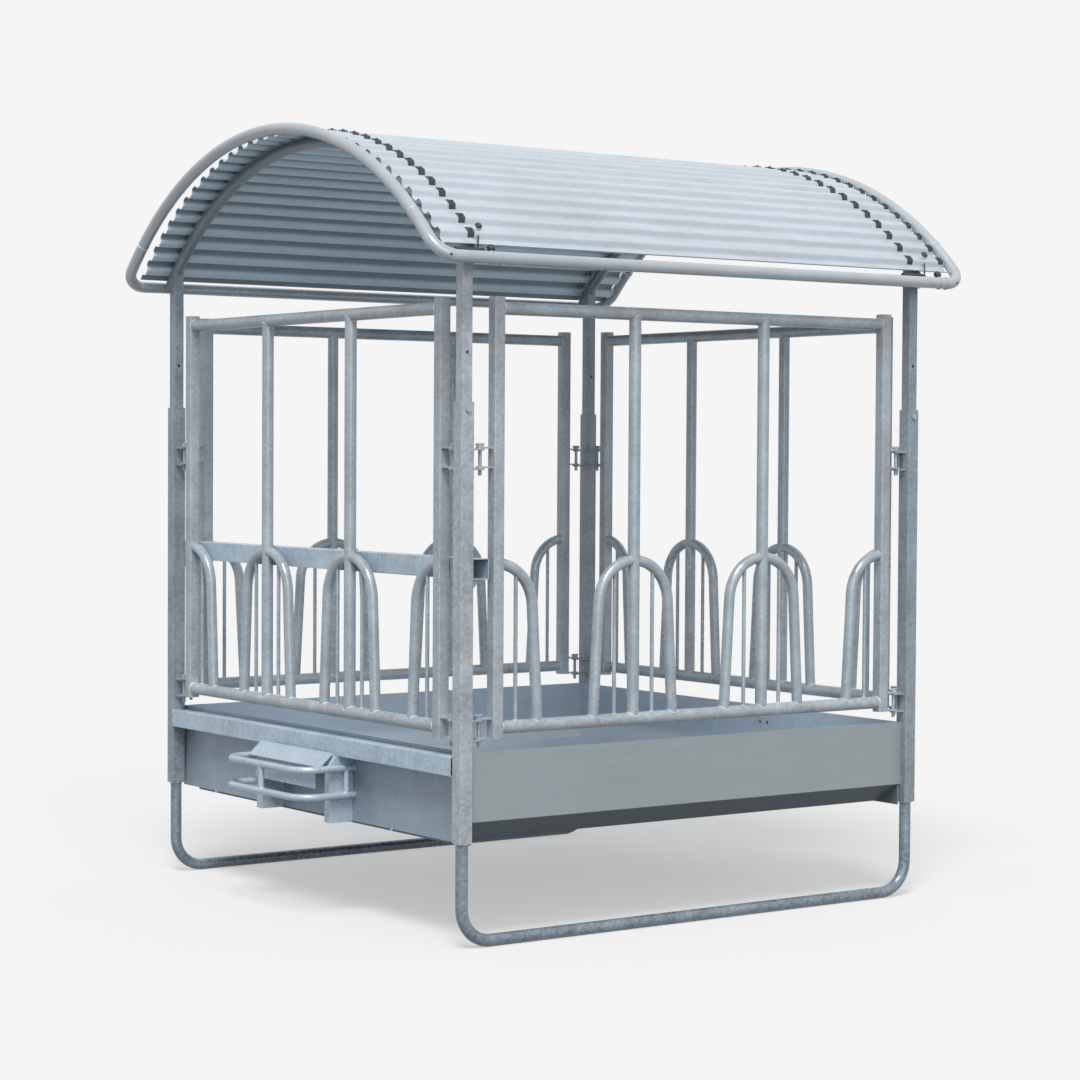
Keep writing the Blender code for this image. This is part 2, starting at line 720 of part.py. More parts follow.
def half_arch_unit(side):
    """Half an arch from an upright, with its thin bar."""
    middle = side * UPRIGHT_PLACE
    pieces = [
        tube(arch_path(middle, side > 0, side < 0), ARCH_TUBE, BAR_SIDES),
        thin_bar(middle, -side),
    ]
    return joined(pieces)


def gate_cutters():
    """What the bars are cut back from: the rails and uprights, larger all round by the gap."""
    y = -POST_PLACE
    far = UPRIGHT_PLACE + UPRIGHT_SIDE
    top = GATE_BOTTOM + GATE_HEIGHT
    made = []
    for height in (BOTTOM_RAIL_HEIGHT, TOP_RAIL_HEIGHT):
        made.append(rod((-far, y, height), (far, y, height), GATE_RAIL + 2 * GAP, TUBE_SIDES))
    half = UPRIGHT_SIDE / 2 + GAP
    for side in (-1, 1):
        x = side * UPRIGHT_PLACE
        low, high = sorted((x - side * half, x + side * UPRIGHT_SIDE))
        made.append(box((low, y - 2 * half, GATE_BOTTOM), (high, y + 2 * half, top)))
    return made


def make_gates():
    """The near front's pieces, shared by all four fronts about their hinge axes."""
    hinge = Vector((-PIN_PLACE, -POST_PLACE, 0))
    cutters = gate_cutters()
    units = {
        "arch_left": arch_unit(-ARCH_PITCH / 2),
        "arch_right": arch_unit(ARCH_PITCH / 2),
        "half_arch_left": half_arch_unit(-1),
        "half_arch_right": half_arch_unit(1),
    }
    pieces = {"frame": gate_frame()}
    pieces.update({name: cut(unit, cutters) for name, unit in units.items()})
    drop(cutters)
    meshes = {}
    for turns, gate in enumerate(GATES):
        turn = Matrix.Rotation(turns * math.pi / 2, 4, "Z")
        pivot = bpy.data.objects.new(f"gate_{gate}_hinge", None)
        feeder.objects.link(pivot)
        pivot.matrix_world = turn @ Matrix.Translation(hinge)
        for name in ("frame", *units):
            label = f"gate_{gate}_{name}"
            if name in pieces:
                material = gate_steel if name == "frame" else bar_steel
                made = finish(pieces.pop(name), label, material, hinge)
                meshes[name] = made.data
            else:
                made = make_object(label, meshes[name], feeder)
            made.parent = pivot
            made.location = (0, 0, 0)


def on_barrel(x, arc_length, radius=ROOF_RADIUS):
    """A point on the roof's barrel, from its place along X and its arc length from the ridge."""
    angle = arc_length / ROOF_RADIUS
    return (x, radius * math.sin(angle), ROOF_CENTRE_HEIGHT + radius * math.cos(angle))


def roof_loop_path():
    """A rounded rectangle on the barrel: the two end hoops and the two eaves."""
    half = EAVE_ANGLE * ROOF_RADIUS
    inset = ROOF_CORNER_RADIUS
    flat = []
    for quarter, (sign_x, sign_s) in enumerate(((1, 1), (-1, 1), (-1, -1), (1, -1))):
        centre = (sign_x * (END_HOOP_PLACE - inset), sign_s * (half - inset))
        start = quarter * math.pi / 2
        flat += arc(centre, inset, start, start + math.pi / 2, BEND_STEPS)
        if sign_x * sign_s < 0:
            straight = half - inset
            shares = [1 - 2 * step / HOOP_STEPS for step in range(1, HOOP_STEPS)]
            flat += [(sign_x * END_HOOP_PLACE, sign_s * straight * share) for share in shares]
    return [on_barrel(x, s) for x, s in flat]


def make_roof_loop(roof):
    curve = tube_curve(roof_loop_path(), ROOF_TUBE, TUBE_SIDES, True)
    loop = make_object("roof_loop", curve, feeder, roof_tube_steel)
    loop.parent = roof


def inner_hoop_path(x):
    end = EAVE_ANGLE
    angles = [-end + 2 * end * step / HOOP_STEPS for step in range(HOOP_STEPS + 1)]
    return [on_barrel(x, angle * ROOF_RADIUS, INNER_HOOP_RADIUS) for angle in angles]


def make_inner_hoops(roof):
    """The hoops over the posts, cut back from the eaves."""
    cutters = []
    for side in (-1, 1):
        y, z = side * EAVE_PLACE, EAVE_HEIGHT
        around = (ROOF_TUBE + 2 * GAP) / math.cos(math.pi / CUTTER_SIDES)
        cutters.append(rod((-POST_SPACING, y, z), (POST_SPACING, y, z), around, CUTTER_SIDES))
    for name, end in (("roof_hoop_hitch", -1), ("roof_hoop_far", 1)):
        hoop = tube(inner_hoop_path(end * POST_PLACE), ROOF_TUBE)
        hoop = cut(hoop, cutters)
        finish(hoop, name, roof_tube_steel, parent=roof)
    drop(cutters)


def make_roof_posts(roof):
    """The four posts in the sleeves, their tops cut to seat under the inner hoops."""
    foot = SLEEVE_TOP - POST_INSERTION
    hoop_angle = math.asin(POST_PLACE / INNER_HOOP_RADIUS)
    seat = ROOF_CENTRE_HEIGHT + INNER_HOOP_RADIUS * math.cos(hoop_angle)
    post = square_tube(POST_SIDE, POST_SIDE, POST_WALL, foot, seat + ROOF_TUBE)
    path = [(x, y + POST_PLACE, z) for x, y, z in inner_hoop_path(0)]
    hoop = tube(path, ROOF_TUBE + 2 * GAP)
    above = box((-POST_PLACE, -POST_PLACE, 0), (POST_PLACE, POST_PLACE, POST_PLACE))
    above.location.z = seat
    above.rotation_euler.x = hoop_angle
    hole_height = SLEEVE_TOP + POST_HOLE_ABOVE_SLEEVE
    hole = rod((0, -POST_SIDE, hole_height), (0, POST_SIDE, hole_height), POST_HOLE_DIAMETER)
    cutters = [hoop, helper(baked(above)), hole]
    post = cut(post, cutters)
    drop(cutters)
    mesh = finish(post, "roof_post_near", post_steel).data
    for name, (sign_x, sign_y) in CORNERS.items():
        label = "roof_post_" + name
        made = bpy.data.objects.get(label) or make_object(label, mesh, feeder)
        made.parent = roof
        made.location = (sign_x * POST_PLACE, sign_y * POST_PLACE, 0)
        made.scale = (-sign_x, -sign_y, 1)


def sheet_profile():
    """The corrugated section across the barrel, as angle and height of rib."""
    edge = EAVE_ANGLE - (ROOF_TUBE / 2 + SHEET_TO_EAVE) / ROOF_RADIUS
    pitch = SHEET_PITCH / ROOF_RADIUS
    ribs = int(edge / pitch)
    crest = pitch * SHEET_CREST_SHARE / 2
    foot = crest + pitch * SHEET_FLANK_SHARE
    points = [(-edge, 0)]
    for rib in range(-ribs, ribs + 1):
        middle = rib * pitch
        points += [(middle - foot, 0), (middle - crest, 1), (middle + crest, 1), (middle + foot, 0)]
    points = [point for point in points if abs(point[0]) <= edge]
    return points + [(edge, 0)]


def make_roof_sheet(roof):
    """The corrugated sheet on the inner hoops, between the end hoops and above the eaves."""
    between_hoops = END_HOOP_PLACE - ROOF_TUBE / 2
    start = SHEET_TO_HITCH_HOOP - between_hoops
    end = between_hoops - SHEET_TO_FAR_HOOP

    def build(shape):
        verts = []
        for angle, rise in sheet_profile():
            radius = SHEET_RADIUS + rise * SHEET_RIB_HEIGHT
            verts.append(shape.verts.new(on_barrel(start, angle * ROOF_RADIUS, radius)))
        edges = [shape.edges.new(pair) for pair in zip(verts, verts[1:])]
        swept = bmesh.ops.extrude_edge_only(shape, edges=edges)["geom"]
        moved = [item for item in swept if isinstance(item, bmesh.types.BMVert)]
        bmesh.ops.translate(shape, verts=moved, vec=(end - start, 0, 0))

    sheet = helper(mesh_from(build))
    shell = sheet.modifiers.new("shell", "SOLIDIFY")
    shell.thickness = SHEET_THICKNESS
    shell.offset = SHEET_OUTWARD
    shell.use_even_offset = True
    around = tube(roof_loop_path(), ROOF_TUBE + 2 * SHEET_CORNER_CLEARANCE, cyclic=True)
    sheet = cut(helper(baked(sheet)), [around])
    drop([around])
    finish(sheet, "roof_sheet", sheet_steel, parent=roof)


def make_roof():
    roof = bpy.data.objects.new("roof_lift", None)
    feeder.objects.link(roof)
    make_roof_loop(roof)
    make_inner_hoops(roof)
    make_roof_posts(roof)
    make_roof_sheet(roof)


clear_scene()
feeder = new_collection("covered_bale_feeder")
helpers = new_collection("cutters", hidden=True)

trough_steel = steel("trough sheet", (0.42, 0.45, 0.47), 0.38)
frame_steel = steel("frame tube", (0.48, 0.52, 0.56), 0.45)
sleeve_steel = steel("sleeve tube", (0.46, 0.49, 0.53), 0.48)
skid_steel = steel("skid tube", (0.44, 0.48, 0.52), 0.45)
hitch_steel = steel("hitch bar", (0.55, 0.60, 0.64), 0.42)
pin_steel = steel("pin", (0.45, 0.48, 0.51), 0.40)
fixing_steel = steel("clamp screw", (0.50, 0.52, 0.54), 0.40)
gate_steel = steel("front frame tube", (0.50, 0.54, 0.58), 0.42)
bar_steel = steel("front bar", (0.52, 0.56, 0.60), 0.40)
roof_tube_steel = steel("roof tube", (0.55, 0.59, 0.62), 0.38)
post_steel = steel("roof post", (0.48, 0.52, 0.56), 0.45)
sheet_steel = steel("roof sheet", (0.58, 0.62, 0.65), 0.32)

make_trough()
make_end_rails()
make_sleeves()
make_clamp_screws()
make_skids()
make_hitch()
make_cross_beam()
make_pins()
make_gates()
make_roof()
drop(list(helpers.objects))
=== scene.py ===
import math

import bmesh
import bpy
import numpy as np
from mathutils import Matrix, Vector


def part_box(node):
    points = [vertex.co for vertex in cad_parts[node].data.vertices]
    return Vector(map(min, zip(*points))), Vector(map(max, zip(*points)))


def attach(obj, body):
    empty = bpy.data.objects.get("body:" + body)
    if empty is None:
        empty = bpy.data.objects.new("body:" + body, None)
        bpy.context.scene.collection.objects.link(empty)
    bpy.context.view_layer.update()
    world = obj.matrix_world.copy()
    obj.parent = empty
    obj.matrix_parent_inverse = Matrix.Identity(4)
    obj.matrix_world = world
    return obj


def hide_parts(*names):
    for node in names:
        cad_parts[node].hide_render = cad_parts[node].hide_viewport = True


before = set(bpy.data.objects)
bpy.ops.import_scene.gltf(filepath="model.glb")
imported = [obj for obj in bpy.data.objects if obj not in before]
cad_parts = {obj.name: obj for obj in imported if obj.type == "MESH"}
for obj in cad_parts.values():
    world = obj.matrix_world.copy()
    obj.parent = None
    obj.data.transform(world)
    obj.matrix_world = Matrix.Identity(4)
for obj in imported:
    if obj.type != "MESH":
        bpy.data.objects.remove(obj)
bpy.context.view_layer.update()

# %% [markdown]
# A covered bale feeder is almost all tube: round tube bent into arches, hoops and skids,
# square tube for what has to slide or carry, and sheet for the trough and the roof. The
# solids give every size. This lesson draws the surfaces over them: each tube is a profile
# carried along a path, worked out as whole arrays, and each finish is built from nodes.
#
# The camera comes first. It was fitted to the photograph, so it is given as a place, two angles
# and a small roll, and its lens is long.

# %% Camera


def placed(side, top, back, place=(0, 0, 0)):
    """The matrix of an object whose X, Y and Z axes point along side, top and back."""
    matrix = np.eye(4)
    matrix[:3, :3] = np.stack([side, top, back], axis=1)
    matrix[:3, 3] = place
    return Matrix(matrix.tolist())


def added(name, data):
    """A new object of the scene that shows this mesh, camera or lamp."""
    made = bpy.data.objects.new(name, data)
    bpy.context.scene.collection.objects.link(made)
    return made


FRAME_PIXELS = 1080
FOCAL_PIXELS = 2692.206
SENSOR_WIDTH = 36.0
CAMERA_PLACE = (-5.9677307, -8.3605857, 1.6499895)
CAMERA_HEADING = math.radians(35.64981)
CAMERA_TILT = math.radians(-1.86281)
CAMERA_ROLL = math.radians(0.33290)


def camera_matrix():
    """The camera's axes: the view runs along the heading and tilt, then rolls about itself."""
    flat = math.cos(CAMERA_TILT)
    north, east = math.cos(CAMERA_HEADING), math.sin(CAMERA_HEADING)
    ahead = np.array([east * flat, north * flat, math.sin(CAMERA_TILT)])
    level = np.array([north, -east, 0.0])
    upright = np.cross(level, ahead)
    side = level * math.cos(CAMERA_ROLL) + upright * math.sin(CAMERA_ROLL)
    top = -level * math.sin(CAMERA_ROLL) + upright * math.cos(CAMERA_ROLL)
    return placed(side, top, -ahead, CAMERA_PLACE)


camera_data = bpy.data.cameras.new("camera")
camera_data.sensor_width = SENSOR_WIDTH
camera_data.lens = FOCAL_PIXELS / FRAME_PIXELS * SENSOR_WIDTH
camera = added("camera", camera_data)
camera.matrix_world = camera_matrix()
bpy.context.scene.camera = camera
print("lens:", round(camera_data.lens, 2), "mm")

# %% [markdown]
# The sizes repeat those of the solids, in metres. The origin is on the ground under the
# middle of the trough, X runs along the roof's barrel and the near long side is at -Y. A
# place round the roof is an arc length from the ridge at the roof's own radius.

# %% Sizes
POST = 1.0
TOUCH = 0.0003
PIN_PLACE, UPRIGHT_PLACE = 0.935, 0.869
UPRIGHT_SIDE, GATE_RAIL = 0.042, 0.0445
GATE_BOTTOM, GATE_TOP = 0.6966, 2.1659
BOTTOM_RAIL, TOP_RAIL = 0.7316, 2.1287
ARCH_PITCH = 2 * UPRIGHT_PLACE / 3
CROWN_CENTRE, CROWN_RADIUS, FOOT_HALF = 1.1296, 0.150, 0.1725
ARCH_TUBE, LONG_BAR, THIN_BAR, THIN_OFFSET = 0.038, 0.0424, 0.014, 0.082
LUG_RADIUS, LUG_THICKNESS, LUG_SPACING = 0.015, 0.006, 0.065
LUG_HEIGHTS = (0.6966, 1.5966)
PIN_DIAMETER, PIN_HOLE = 0.0125, 0.0135 / math.cos(math.pi / 8)
SKID_TUBE, SKID_BEND, SKID_TOP = 0.0424, 0.115, 0.4536
ROOF_TUBE, ROOF_RADIUS = 0.0424, 1.458
EAVE_PLACE, EAVE_HEIGHT = 1.100, 2.285
EAVE_ANGLE = math.asin(EAVE_PLACE / ROOF_RADIUS)
EAVE = EAVE_ANGLE * ROOF_RADIUS
BARREL_HEIGHT = EAVE_HEIGHT - ROOF_RADIUS * math.cos(EAVE_ANGLE)
END_HOOP, ROOF_CORNER, HOOP_DROP = 1.170, 0.080, 0.034
INNER_HOOP_RADIUS = ROOF_RADIUS - HOOP_DROP
RIB, PITCH, CREST_SHARE, FLANK_SHARE = 0.019, 0.0750, 0.30, 0.18
EAVE_GAP, HITCH_GAP, FAR_GAP = 0.055, 0.034, 0.006
SHEET_RADIUS = INNER_HOOP_RADIUS + ROOF_TUBE / 2 * math.cos(math.pi / 10) + TOUCH
SHEET_EDGE = EAVE - EAVE_GAP
SHEET_START = ROOF_TUBE / 2 + HITCH_GAP - END_HOOP
SHEET_END = END_HOOP - ROOF_TUBE / 2 - FAR_GAP
END_WALL, HITCH_PANEL = 0.9657, 0.966
QUARTERS = {"near": 0, "right": 1, "far": 2, "hitch": 3}
CORNERS = ("near", "right", "back", "left")
print("barrel centre at", round(BARREL_HEIGHT, 4), "m")

# %% [markdown]
# A surface is a grid of points: rows one way, columns the other. Where the last column lies
# on the first, or a whole row lies on one point, merging the doubles closes the seam or the
# pole. So a single builder serves tubes, plates, sheets and domes. It takes several grids,
# because a welded frame is one piece made of many tubes. Where one piece has more than one
# finish, a table of its faces, their middles and their normals, says which face has which.

# %% Mesh from grids
MERGE = 1e-5


def turned(points, quarters):
    """Turns points about Z by whole quarter turns: each turn sends (x, y) to (-y, x)."""
    x, y, z = np.moveaxis(np.asarray(points, float), -1, 0)
    for _ in range(quarters):
        x, y = -y, x
    return np.stack([x, y, z], axis=-1)


def mesh_from(name, grids, sharp=40):
    """One mesh of all the grids: point (row, column) joins its neighbours in four-sided faces."""
    places, faces, start = [], [], 0
    for grid in grids:
        rows, columns = grid.shape[:2]
        index = np.arange(rows * columns).reshape(rows, columns) + start
        corners = [index[:-1, :-1], index[:-1, 1:], index[1:, 1:], index[1:, :-1]]
        faces.append(np.stack(corners, axis=-1).reshape(-1, 4))
        places.append(grid.reshape(-1, 3))
        start += rows * columns
    places, faces = np.concatenate(places), np.concatenate(faces)
    mesh = bpy.data.meshes.new(name)
    mesh.from_pydata(places.tolist(), [], faces.tolist())
    shape = bmesh.new()
    shape.from_mesh(mesh)
    bmesh.ops.remove_doubles(shape, verts=shape.verts, dist=MERGE)
    bmesh.ops.dissolve_degenerate(shape, edges=shape.edges, dist=MERGE / 10)
    bmesh.ops.recalc_face_normals(shape, faces=shape.faces)
    shape.to_mesh(mesh)
    shape.free()
    mesh.shade_smooth()
    mesh.set_sharp_from_angle(angle=math.radians(sharp))
    return mesh


def piece(name, mesh, finish, body, slot, *nodes):
    """An object at the origin that rides on a body and stands for the nodes named."""
    made = added(name, mesh)
    mesh.materials.append(finish)
    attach(made, body)
    if nodes:
        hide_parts(*nodes)
    return made


def face_table(mesh):
    """The middle and the normal of every face, as two arrays."""
    tables = []
    for name in ("center", "normal"):
        values = np.empty(len(mesh.polygons) * 3)
        mesh.polygons.foreach_get(name, values)
        tables.append(values.reshape(-1, 3))
    return tables


def share_faces(mesh, index, *finishes):
    """Adds finishes to a mesh that has its first, 0, and gives each face the one of its index."""
    for finish in finishes:
        mesh.materials.append(finish)
    mesh.polygons.foreach_set("material_index", index.astype(np.int32))


print("points are merged within", MERGE, "m")

# %% [markdown]
# A tube is a closed outline carried along a path. At each point of the path, the tangent and
# a reference direction give the two axes in which the outline is drawn. For a path in one
# plane the reference is the plane's own normal, so the outline never twists.

# %% Profiles and sweeps
ROUND_SIDES, BEND_STEPS = 24, 14


def circle(diameter, sides=ROUND_SIDES):
    """A closed circle: radius times (cos, sin) of an angle that runs once round."""
    angle = np.linspace(0, 2 * np.pi, sides + 1)
    return diameter / 2 * np.stack([np.cos(angle), np.sin(angle)], axis=1)


def rounded(width, height, radius, steps=5):
    """A closed rectangle with round corners: a quarter circle moved out to each corner."""
    quarter = np.linspace(0, np.pi / 2, steps + 1)
    angle = (quarter + np.arange(4)[:, None] * np.pi / 2).ravel()
    signs = np.repeat([[1, 1], [-1, 1], [-1, -1], [1, -1]], steps + 1, axis=0)
    corner = signs * (np.array([width, height]) / 2 - radius)
    outline = corner + radius * np.stack([np.cos(angle), np.sin(angle)], axis=1)
    return np.concatenate([outline, outline[:1]])


def unit(vectors):
    """The same directions with a length of 1."""
    return vectors / np.linalg.norm(vectors, axis=-1, keepdims=True)


def carried(path, outline, reference, closed=False):
    """Rows of the outline along the path: place = path + a * side + b * up, per point."""
    path = np.asarray(path, float)
    if closed:
        tangent = unit(np.roll(path, -1, axis=0) - np.roll(path, 1, axis=0))
    else:
        tangent = unit(np.gradient(path, axis=0))
    reference = np.broadcast_to(np.asarray(reference, float), path.shape)
    across = (reference * tangent).sum(axis=1, keepdims=True)
    up = unit(reference - across * tangent)
    side = np.cross(up, tangent)
    outline = np.broadcast_to(outline, (len(path), *np.shape(outline)[-2:]))
    rows = path[:, None] + outline[..., :1] * side[:, None] + outline[..., 1:] * up[:, None]
    return np.concatenate([rows, rows[:1]]) if closed else rows


def capped(rows):
    """The same rows with a row at each end drawn in to its own middle, which closes the end."""
    first, last = rows[0, :-1].mean(axis=0), rows[-1, :-1].mean(axis=0)
    ends = [np.broadcast_to(end, rows[:1].shape) for end in (first, last)]
    return np.concatenate([ends[0], rows, ends[1]])


def bar(start, end, outline):
    """A straight bar with flat ends."""
    return capped(carried([start, end], outline, (0, 1, 0)))


def hollow(start, end, outline, bore):
    """A straight open tube: out along the outside, back along the bore, and closed on itself."""
    outside = carried([start, end], outline, (0, 1, 0))
    inside = carried([end, start], bore * (-1, 1), (0, 1, 0))
    return np.concatenate([outside, inside, outside[:1]])


def bent(corners, radius):
    """A path through corner points, each inner corner an arc of one radius between tangents."""
    corners = np.asarray(corners, float)
    before, corner, after = corners[:-2], corners[1:-1], corners[2:]
    back, ahead = unit(before - corner), unit(after - corner)
    half = np.arccos((back * ahead).sum(axis=1, keepdims=True)) / 2
    centre = corner + unit(back + ahead) * radius / np.sin(half)
    start = unit(corner + back * radius / np.tan(half) - centre)
    end = unit(corner + ahead * radius / np.tan(half) - centre)
    turn = np.pi - 2 * half[:, None]
    share = np.linspace(0, 1, BEND_STEPS + 1)[:, None]
    weights = np.sin((1 - share) * turn) * start[:, None] + np.sin(share * turn) * end[:, None]
    arcs = centre[:, None] + radius * weights / np.sin(turn)
    return np.concatenate([corners[:1], arcs.reshape(-1, 3), corners[-1:]])


print("a round profile has", ROUND_SIDES, "sides and a bend", BEND_STEPS, "steps")

# %% [markdown]
# Hot-dip galvanised steel is never one grey. The zinc freezes in crystals of a centimetre or
# so, each a little lighter or darker, and over them lie larger cloudy patches, runs along
# the tube and, where it has weathered, a warm dull tint. The finish is written as sums and
# products of textures, so a small class lets Python's own operators build the Math nodes.

# %% Shader arithmetic
SHINE = 0.4


class Wire:
    """An output of the node tree that can be used in an expression."""

    def __init__(self, tree, socket):
        self.tree = tree
        self.socket = socket

    def maths(self, operation, *values):
        sockets = dict(enumerate(values))
        return self.tree.node("ShaderNodeMath", {"operation": operation}, sockets)

    def __add__(self, other):
        return self.maths("ADD", self, other)

    __radd__ = __add__

    def __sub__(self, other):
        return self.maths("SUBTRACT", self, other)

    def __rsub__(self, other):
        return self.maths("SUBTRACT", other, self)

    def __mul__(self, other):
        return self.maths("MULTIPLY", self, other)

    __rmul__ = __mul__

    def also(self, output):
        """Another output of the same node."""
        return Wire(self.tree, self.socket.node.outputs[output])

    def between(self, low, high):
        """0 below low, 1 above high and a smooth step between them."""
        settings = {"interpolation_type": "SMOOTHSTEP"}
        sockets = {"Value": self, "From Min": low, "From Max": high}
        return self.tree.node("ShaderNodeMapRange", settings, sockets)


class Tree:
    """The nodes of a material or world. The method node adds one: type, settings, sockets."""

    def __init__(self, owner):
        owner.use_nodes = True
        self.owner = owner
        self.nodes = owner.node_tree.nodes
        self.links = owner.node_tree.links

    def node(self, kind, settings, sockets, output=0):
        made = self.nodes.new(kind)
        for name, value in settings.items():
            setattr(made, name, value)
        self.fill(made, sockets)
        return Wire(self, made.outputs[output])

    def fill(self, node, sockets):
        """Sets a node's inputs by name or number: a Wire is linked and a value is written."""
        for name, value in sockets.items():
            if isinstance(value, Wire):
                self.links.new(value.socket, node.inputs[name])
            else:
                node.inputs[name].default_value = value

    def place(self):
        """Where a point of the surface is, on the object's own axes."""
        return self.node("ShaderNodeTexCoord", {}, {}, "Object")

    def noise(self, scale, detail, stretch=(1, 1, 1)):
        """Cloudy values about 0.5. The stretch draws the clouds out along an axis."""
        moved = self.node("ShaderNodeMapping", {}, {"Vector": self.place(), "Scale": stretch})
        return self.node(
            "ShaderNodeTexNoise", {}, {"Vector": moved, "Scale": scale, "Detail": detail})

    def crystals(self, scale):
        """A random value for each cell, the way that zinc crystals differ."""
        sockets = {"Vector": self.place(), "Scale": scale}
        cells = self.node("ShaderNodeTexVoronoi", {}, sockets, "Color")
        return self.node("ShaderNodeSeparateColor", {}, {"Color": cells})

    def mixed(self, share, first, second):
        """The first colour at 0, the second at 1."""
        settings = {"data_type": "RGBA", "clamp_factor": True}
        return self.node("ShaderNodeMix", settings, {0: share, 6: first, 7: second}, 2)

    def bumped(self, strength, distance, height):
        """The surface's normal, tilted by the slope of a height."""
        sockets = {"Strength": strength, "Distance": distance, "Height": height}
        return self.node("ShaderNodeBump", {}, sockets)

    def surface(self, colour, rough, metal, normal):
        """Fills the material's surface and returns the material."""
        self.fill(self.nodes["Principled BSDF"], {
            "Base Color": colour,
            "Roughness": rough,
            "Metallic": metal,
            "Specular IOR Level": SHINE,
            "Normal": normal,
        })
        return self.owner

    def plain_view(self):
        """1 where the camera looks, straight on or by gloss or glass, and 0 for other light."""
        path = self.node("ShaderNodeLightPath", {}, {}, "Is Camera Ray")
        return path + path.also("Is Glossy Ray") + path.also("Is Transmission Ray")


def rgb(red, green, blue):
    """A colour as the sockets take it, with full alpha."""
    return (red, green, blue, 1.0)


print("a mid grey:", rgb(0.5, 0.5, 0.5))

# %% [markdown]
# One function gives every galvanised tube. What differs from piece to piece is its tone, how
# far it spreads, how strong the crystals are, how smooth the zinc is and how much warm tint
# it has, so these are its arguments. Weathered zinc is part oxide and scatters light, so
# Metallic is well below 1, which also gives a round tube its bright side and its dark side.

# %% Galvanised finish
CLOUD_SCALE, RUN_SCALE, FINE_SCALE, TINT_SCALE = 7.0, 26.0, 160.0, 9.0
CLOUD_SHARE, RUN_SHARE = 1.1, 0.5
ZINC_METAL, ZINC_RELIEF = 0.20, 0.0008
WARM = rgb(0.48, 0.43, 0.35)


def shades(tone, spread):
    """The tone made darker and lighter by the same share."""
    tone = np.asarray(tone, float)
    return rgb(*(tone * (1 - spread))), rgb(*(tone * (1 + spread)))


def galvanised(name, tone, spread=0.40, crystal=0.35, tint=0.0, rough=0.36, size=90.0, bump=0.20):
    """Zinc: colour = dark to light by clouds + crystals + runs, with patches of warm tint."""
    tree = Tree(bpy.data.materials.new(name))
    clouds = tree.noise(CLOUD_SCALE, 5.0)
    runs = tree.noise(RUN_SCALE, 3.0, (1.0, 1.0, 0.12))
    fine = tree.noise(FINE_SCALE, 2.0)
    cells = tree.crystals(size)
    share = 0.5 + CLOUD_SHARE * (clouds - 0.5) + crystal * (cells - 0.5)
    share = share + RUN_SHARE * (runs - 0.5)
    colour = tree.mixed(share, *shades(tone, spread))
    if tint:
        patches = tree.noise(TINT_SCALE, 4.0, (1.0, 1.0, 0.5)).between(0.56, 0.70)
        colour = tree.mixed(tint * patches, colour, WARM)
    relief = tree.bumped(bump, ZINC_RELIEF, 0.6 * clouds + 0.3 * fine + 0.1 * cells)
    rough = rough + 0.25 * (clouds - 0.5) + 0.10 * (cells - 0.5)
    return tree.surface(colour, rough, ZINC_METAL, relief)


front_zinc = galvanised("front zinc", (0.395, 0.435, 0.47), 0.32)
bar_zinc = galvanised("bar zinc", (0.38, 0.43, 0.47), 0.30, crystal=0.2, size=70.0, rough=0.26)
near_zinc = galvanised("near post zinc", (0.41, 0.45, 0.49), tint=0.35, rough=0.42)
post_zinc = galvanised("post zinc", (0.28, 0.32, 0.36), tint=0.25, rough=0.42)
frame_zinc = galvanised("frame zinc", (0.44, 0.545, 0.64), 0.30, tint=0.10)
skid_zinc = galvanised("skid zinc", (0.22, 0.265, 0.31), crystal=0.5, rough=0.26)
roof_zinc = galvanised(
    "roof tube zinc", (0.46, 0.50, 0.53), 0.12, crystal=0.1, rough=0.22, bump=0.05)
# The inner hoops are the same tube as the roof loop, in a darker copy of its zinc: painted shade
# under the roof.
shaded_hoop_zinc = galvanised("inner hoop shaded zinc", (0.20, 0.24, 0.27), 0.25)
hitch_zinc = galvanised("hitch zinc", (0.45, 0.53, 0.61), 0.12, rough=0.30, bump=0.10)
# Near black: the colour of the roof's dark fixings, and painted shade where the saddles stand for
# dark hollows at the crests.
fixing_and_shade_zinc = galvanised("fixing and shade zinc", (0.055, 0.07, 0.085), rough=0.6)
bolt_zinc = galvanised("bolt zinc", (0.42, 0.46, 0.50), 0.2, rough=0.35, size=200.0)
weld_zinc = galvanised("weld zinc", (0.60, 0.64, 0.67), rough=0.36, size=260.0, bump=0.6)
panel_zinc = galvanised("end panel zinc", (0.32, 0.39, 0.46), 0.25, crystal=0.2, rough=0.45)
zinc_count = len(bpy.data.materials)
print("galvanised finishes:", zinc_count)

# %% [markdown]
# Sheet is rolled, so it is smoother than tube and its patches run along the rolling
# direction. The trough's sides are a soft even grey. Its underside has a dark copy of the
# sheet's finish, which is painted shade, and its inside a lighter copy, which is painted
# light, paler still at the foot as painted light bounced from the trough's floor. The roof's
# sheet is bright on the weather side; inside, painted shade darkens the hollows of the ribs,
# which lie further from the barrel's axis.

# %% Sheet finishes
STREAK_SCALE, BROAD_SCALE, SHEET_CRYSTALS = 30.0, 1.6, 55.0
SHEET_BUMP, SHEET_RELIEF = 0.12, 0.0010
# Painted shade for the hollows of the roof's ribs, then painted light, bounced from the trough's
# floor, for the foot of its inside, which fades out between the two heights on the next line.
HOLLOW_SHADE, FOOT_LIGHT = rgb(0.03, 0.04, 0.05), rgb(0.80, 0.86, 0.90)
ALL_LIT, NONE_LIT = 0.47, 0.52


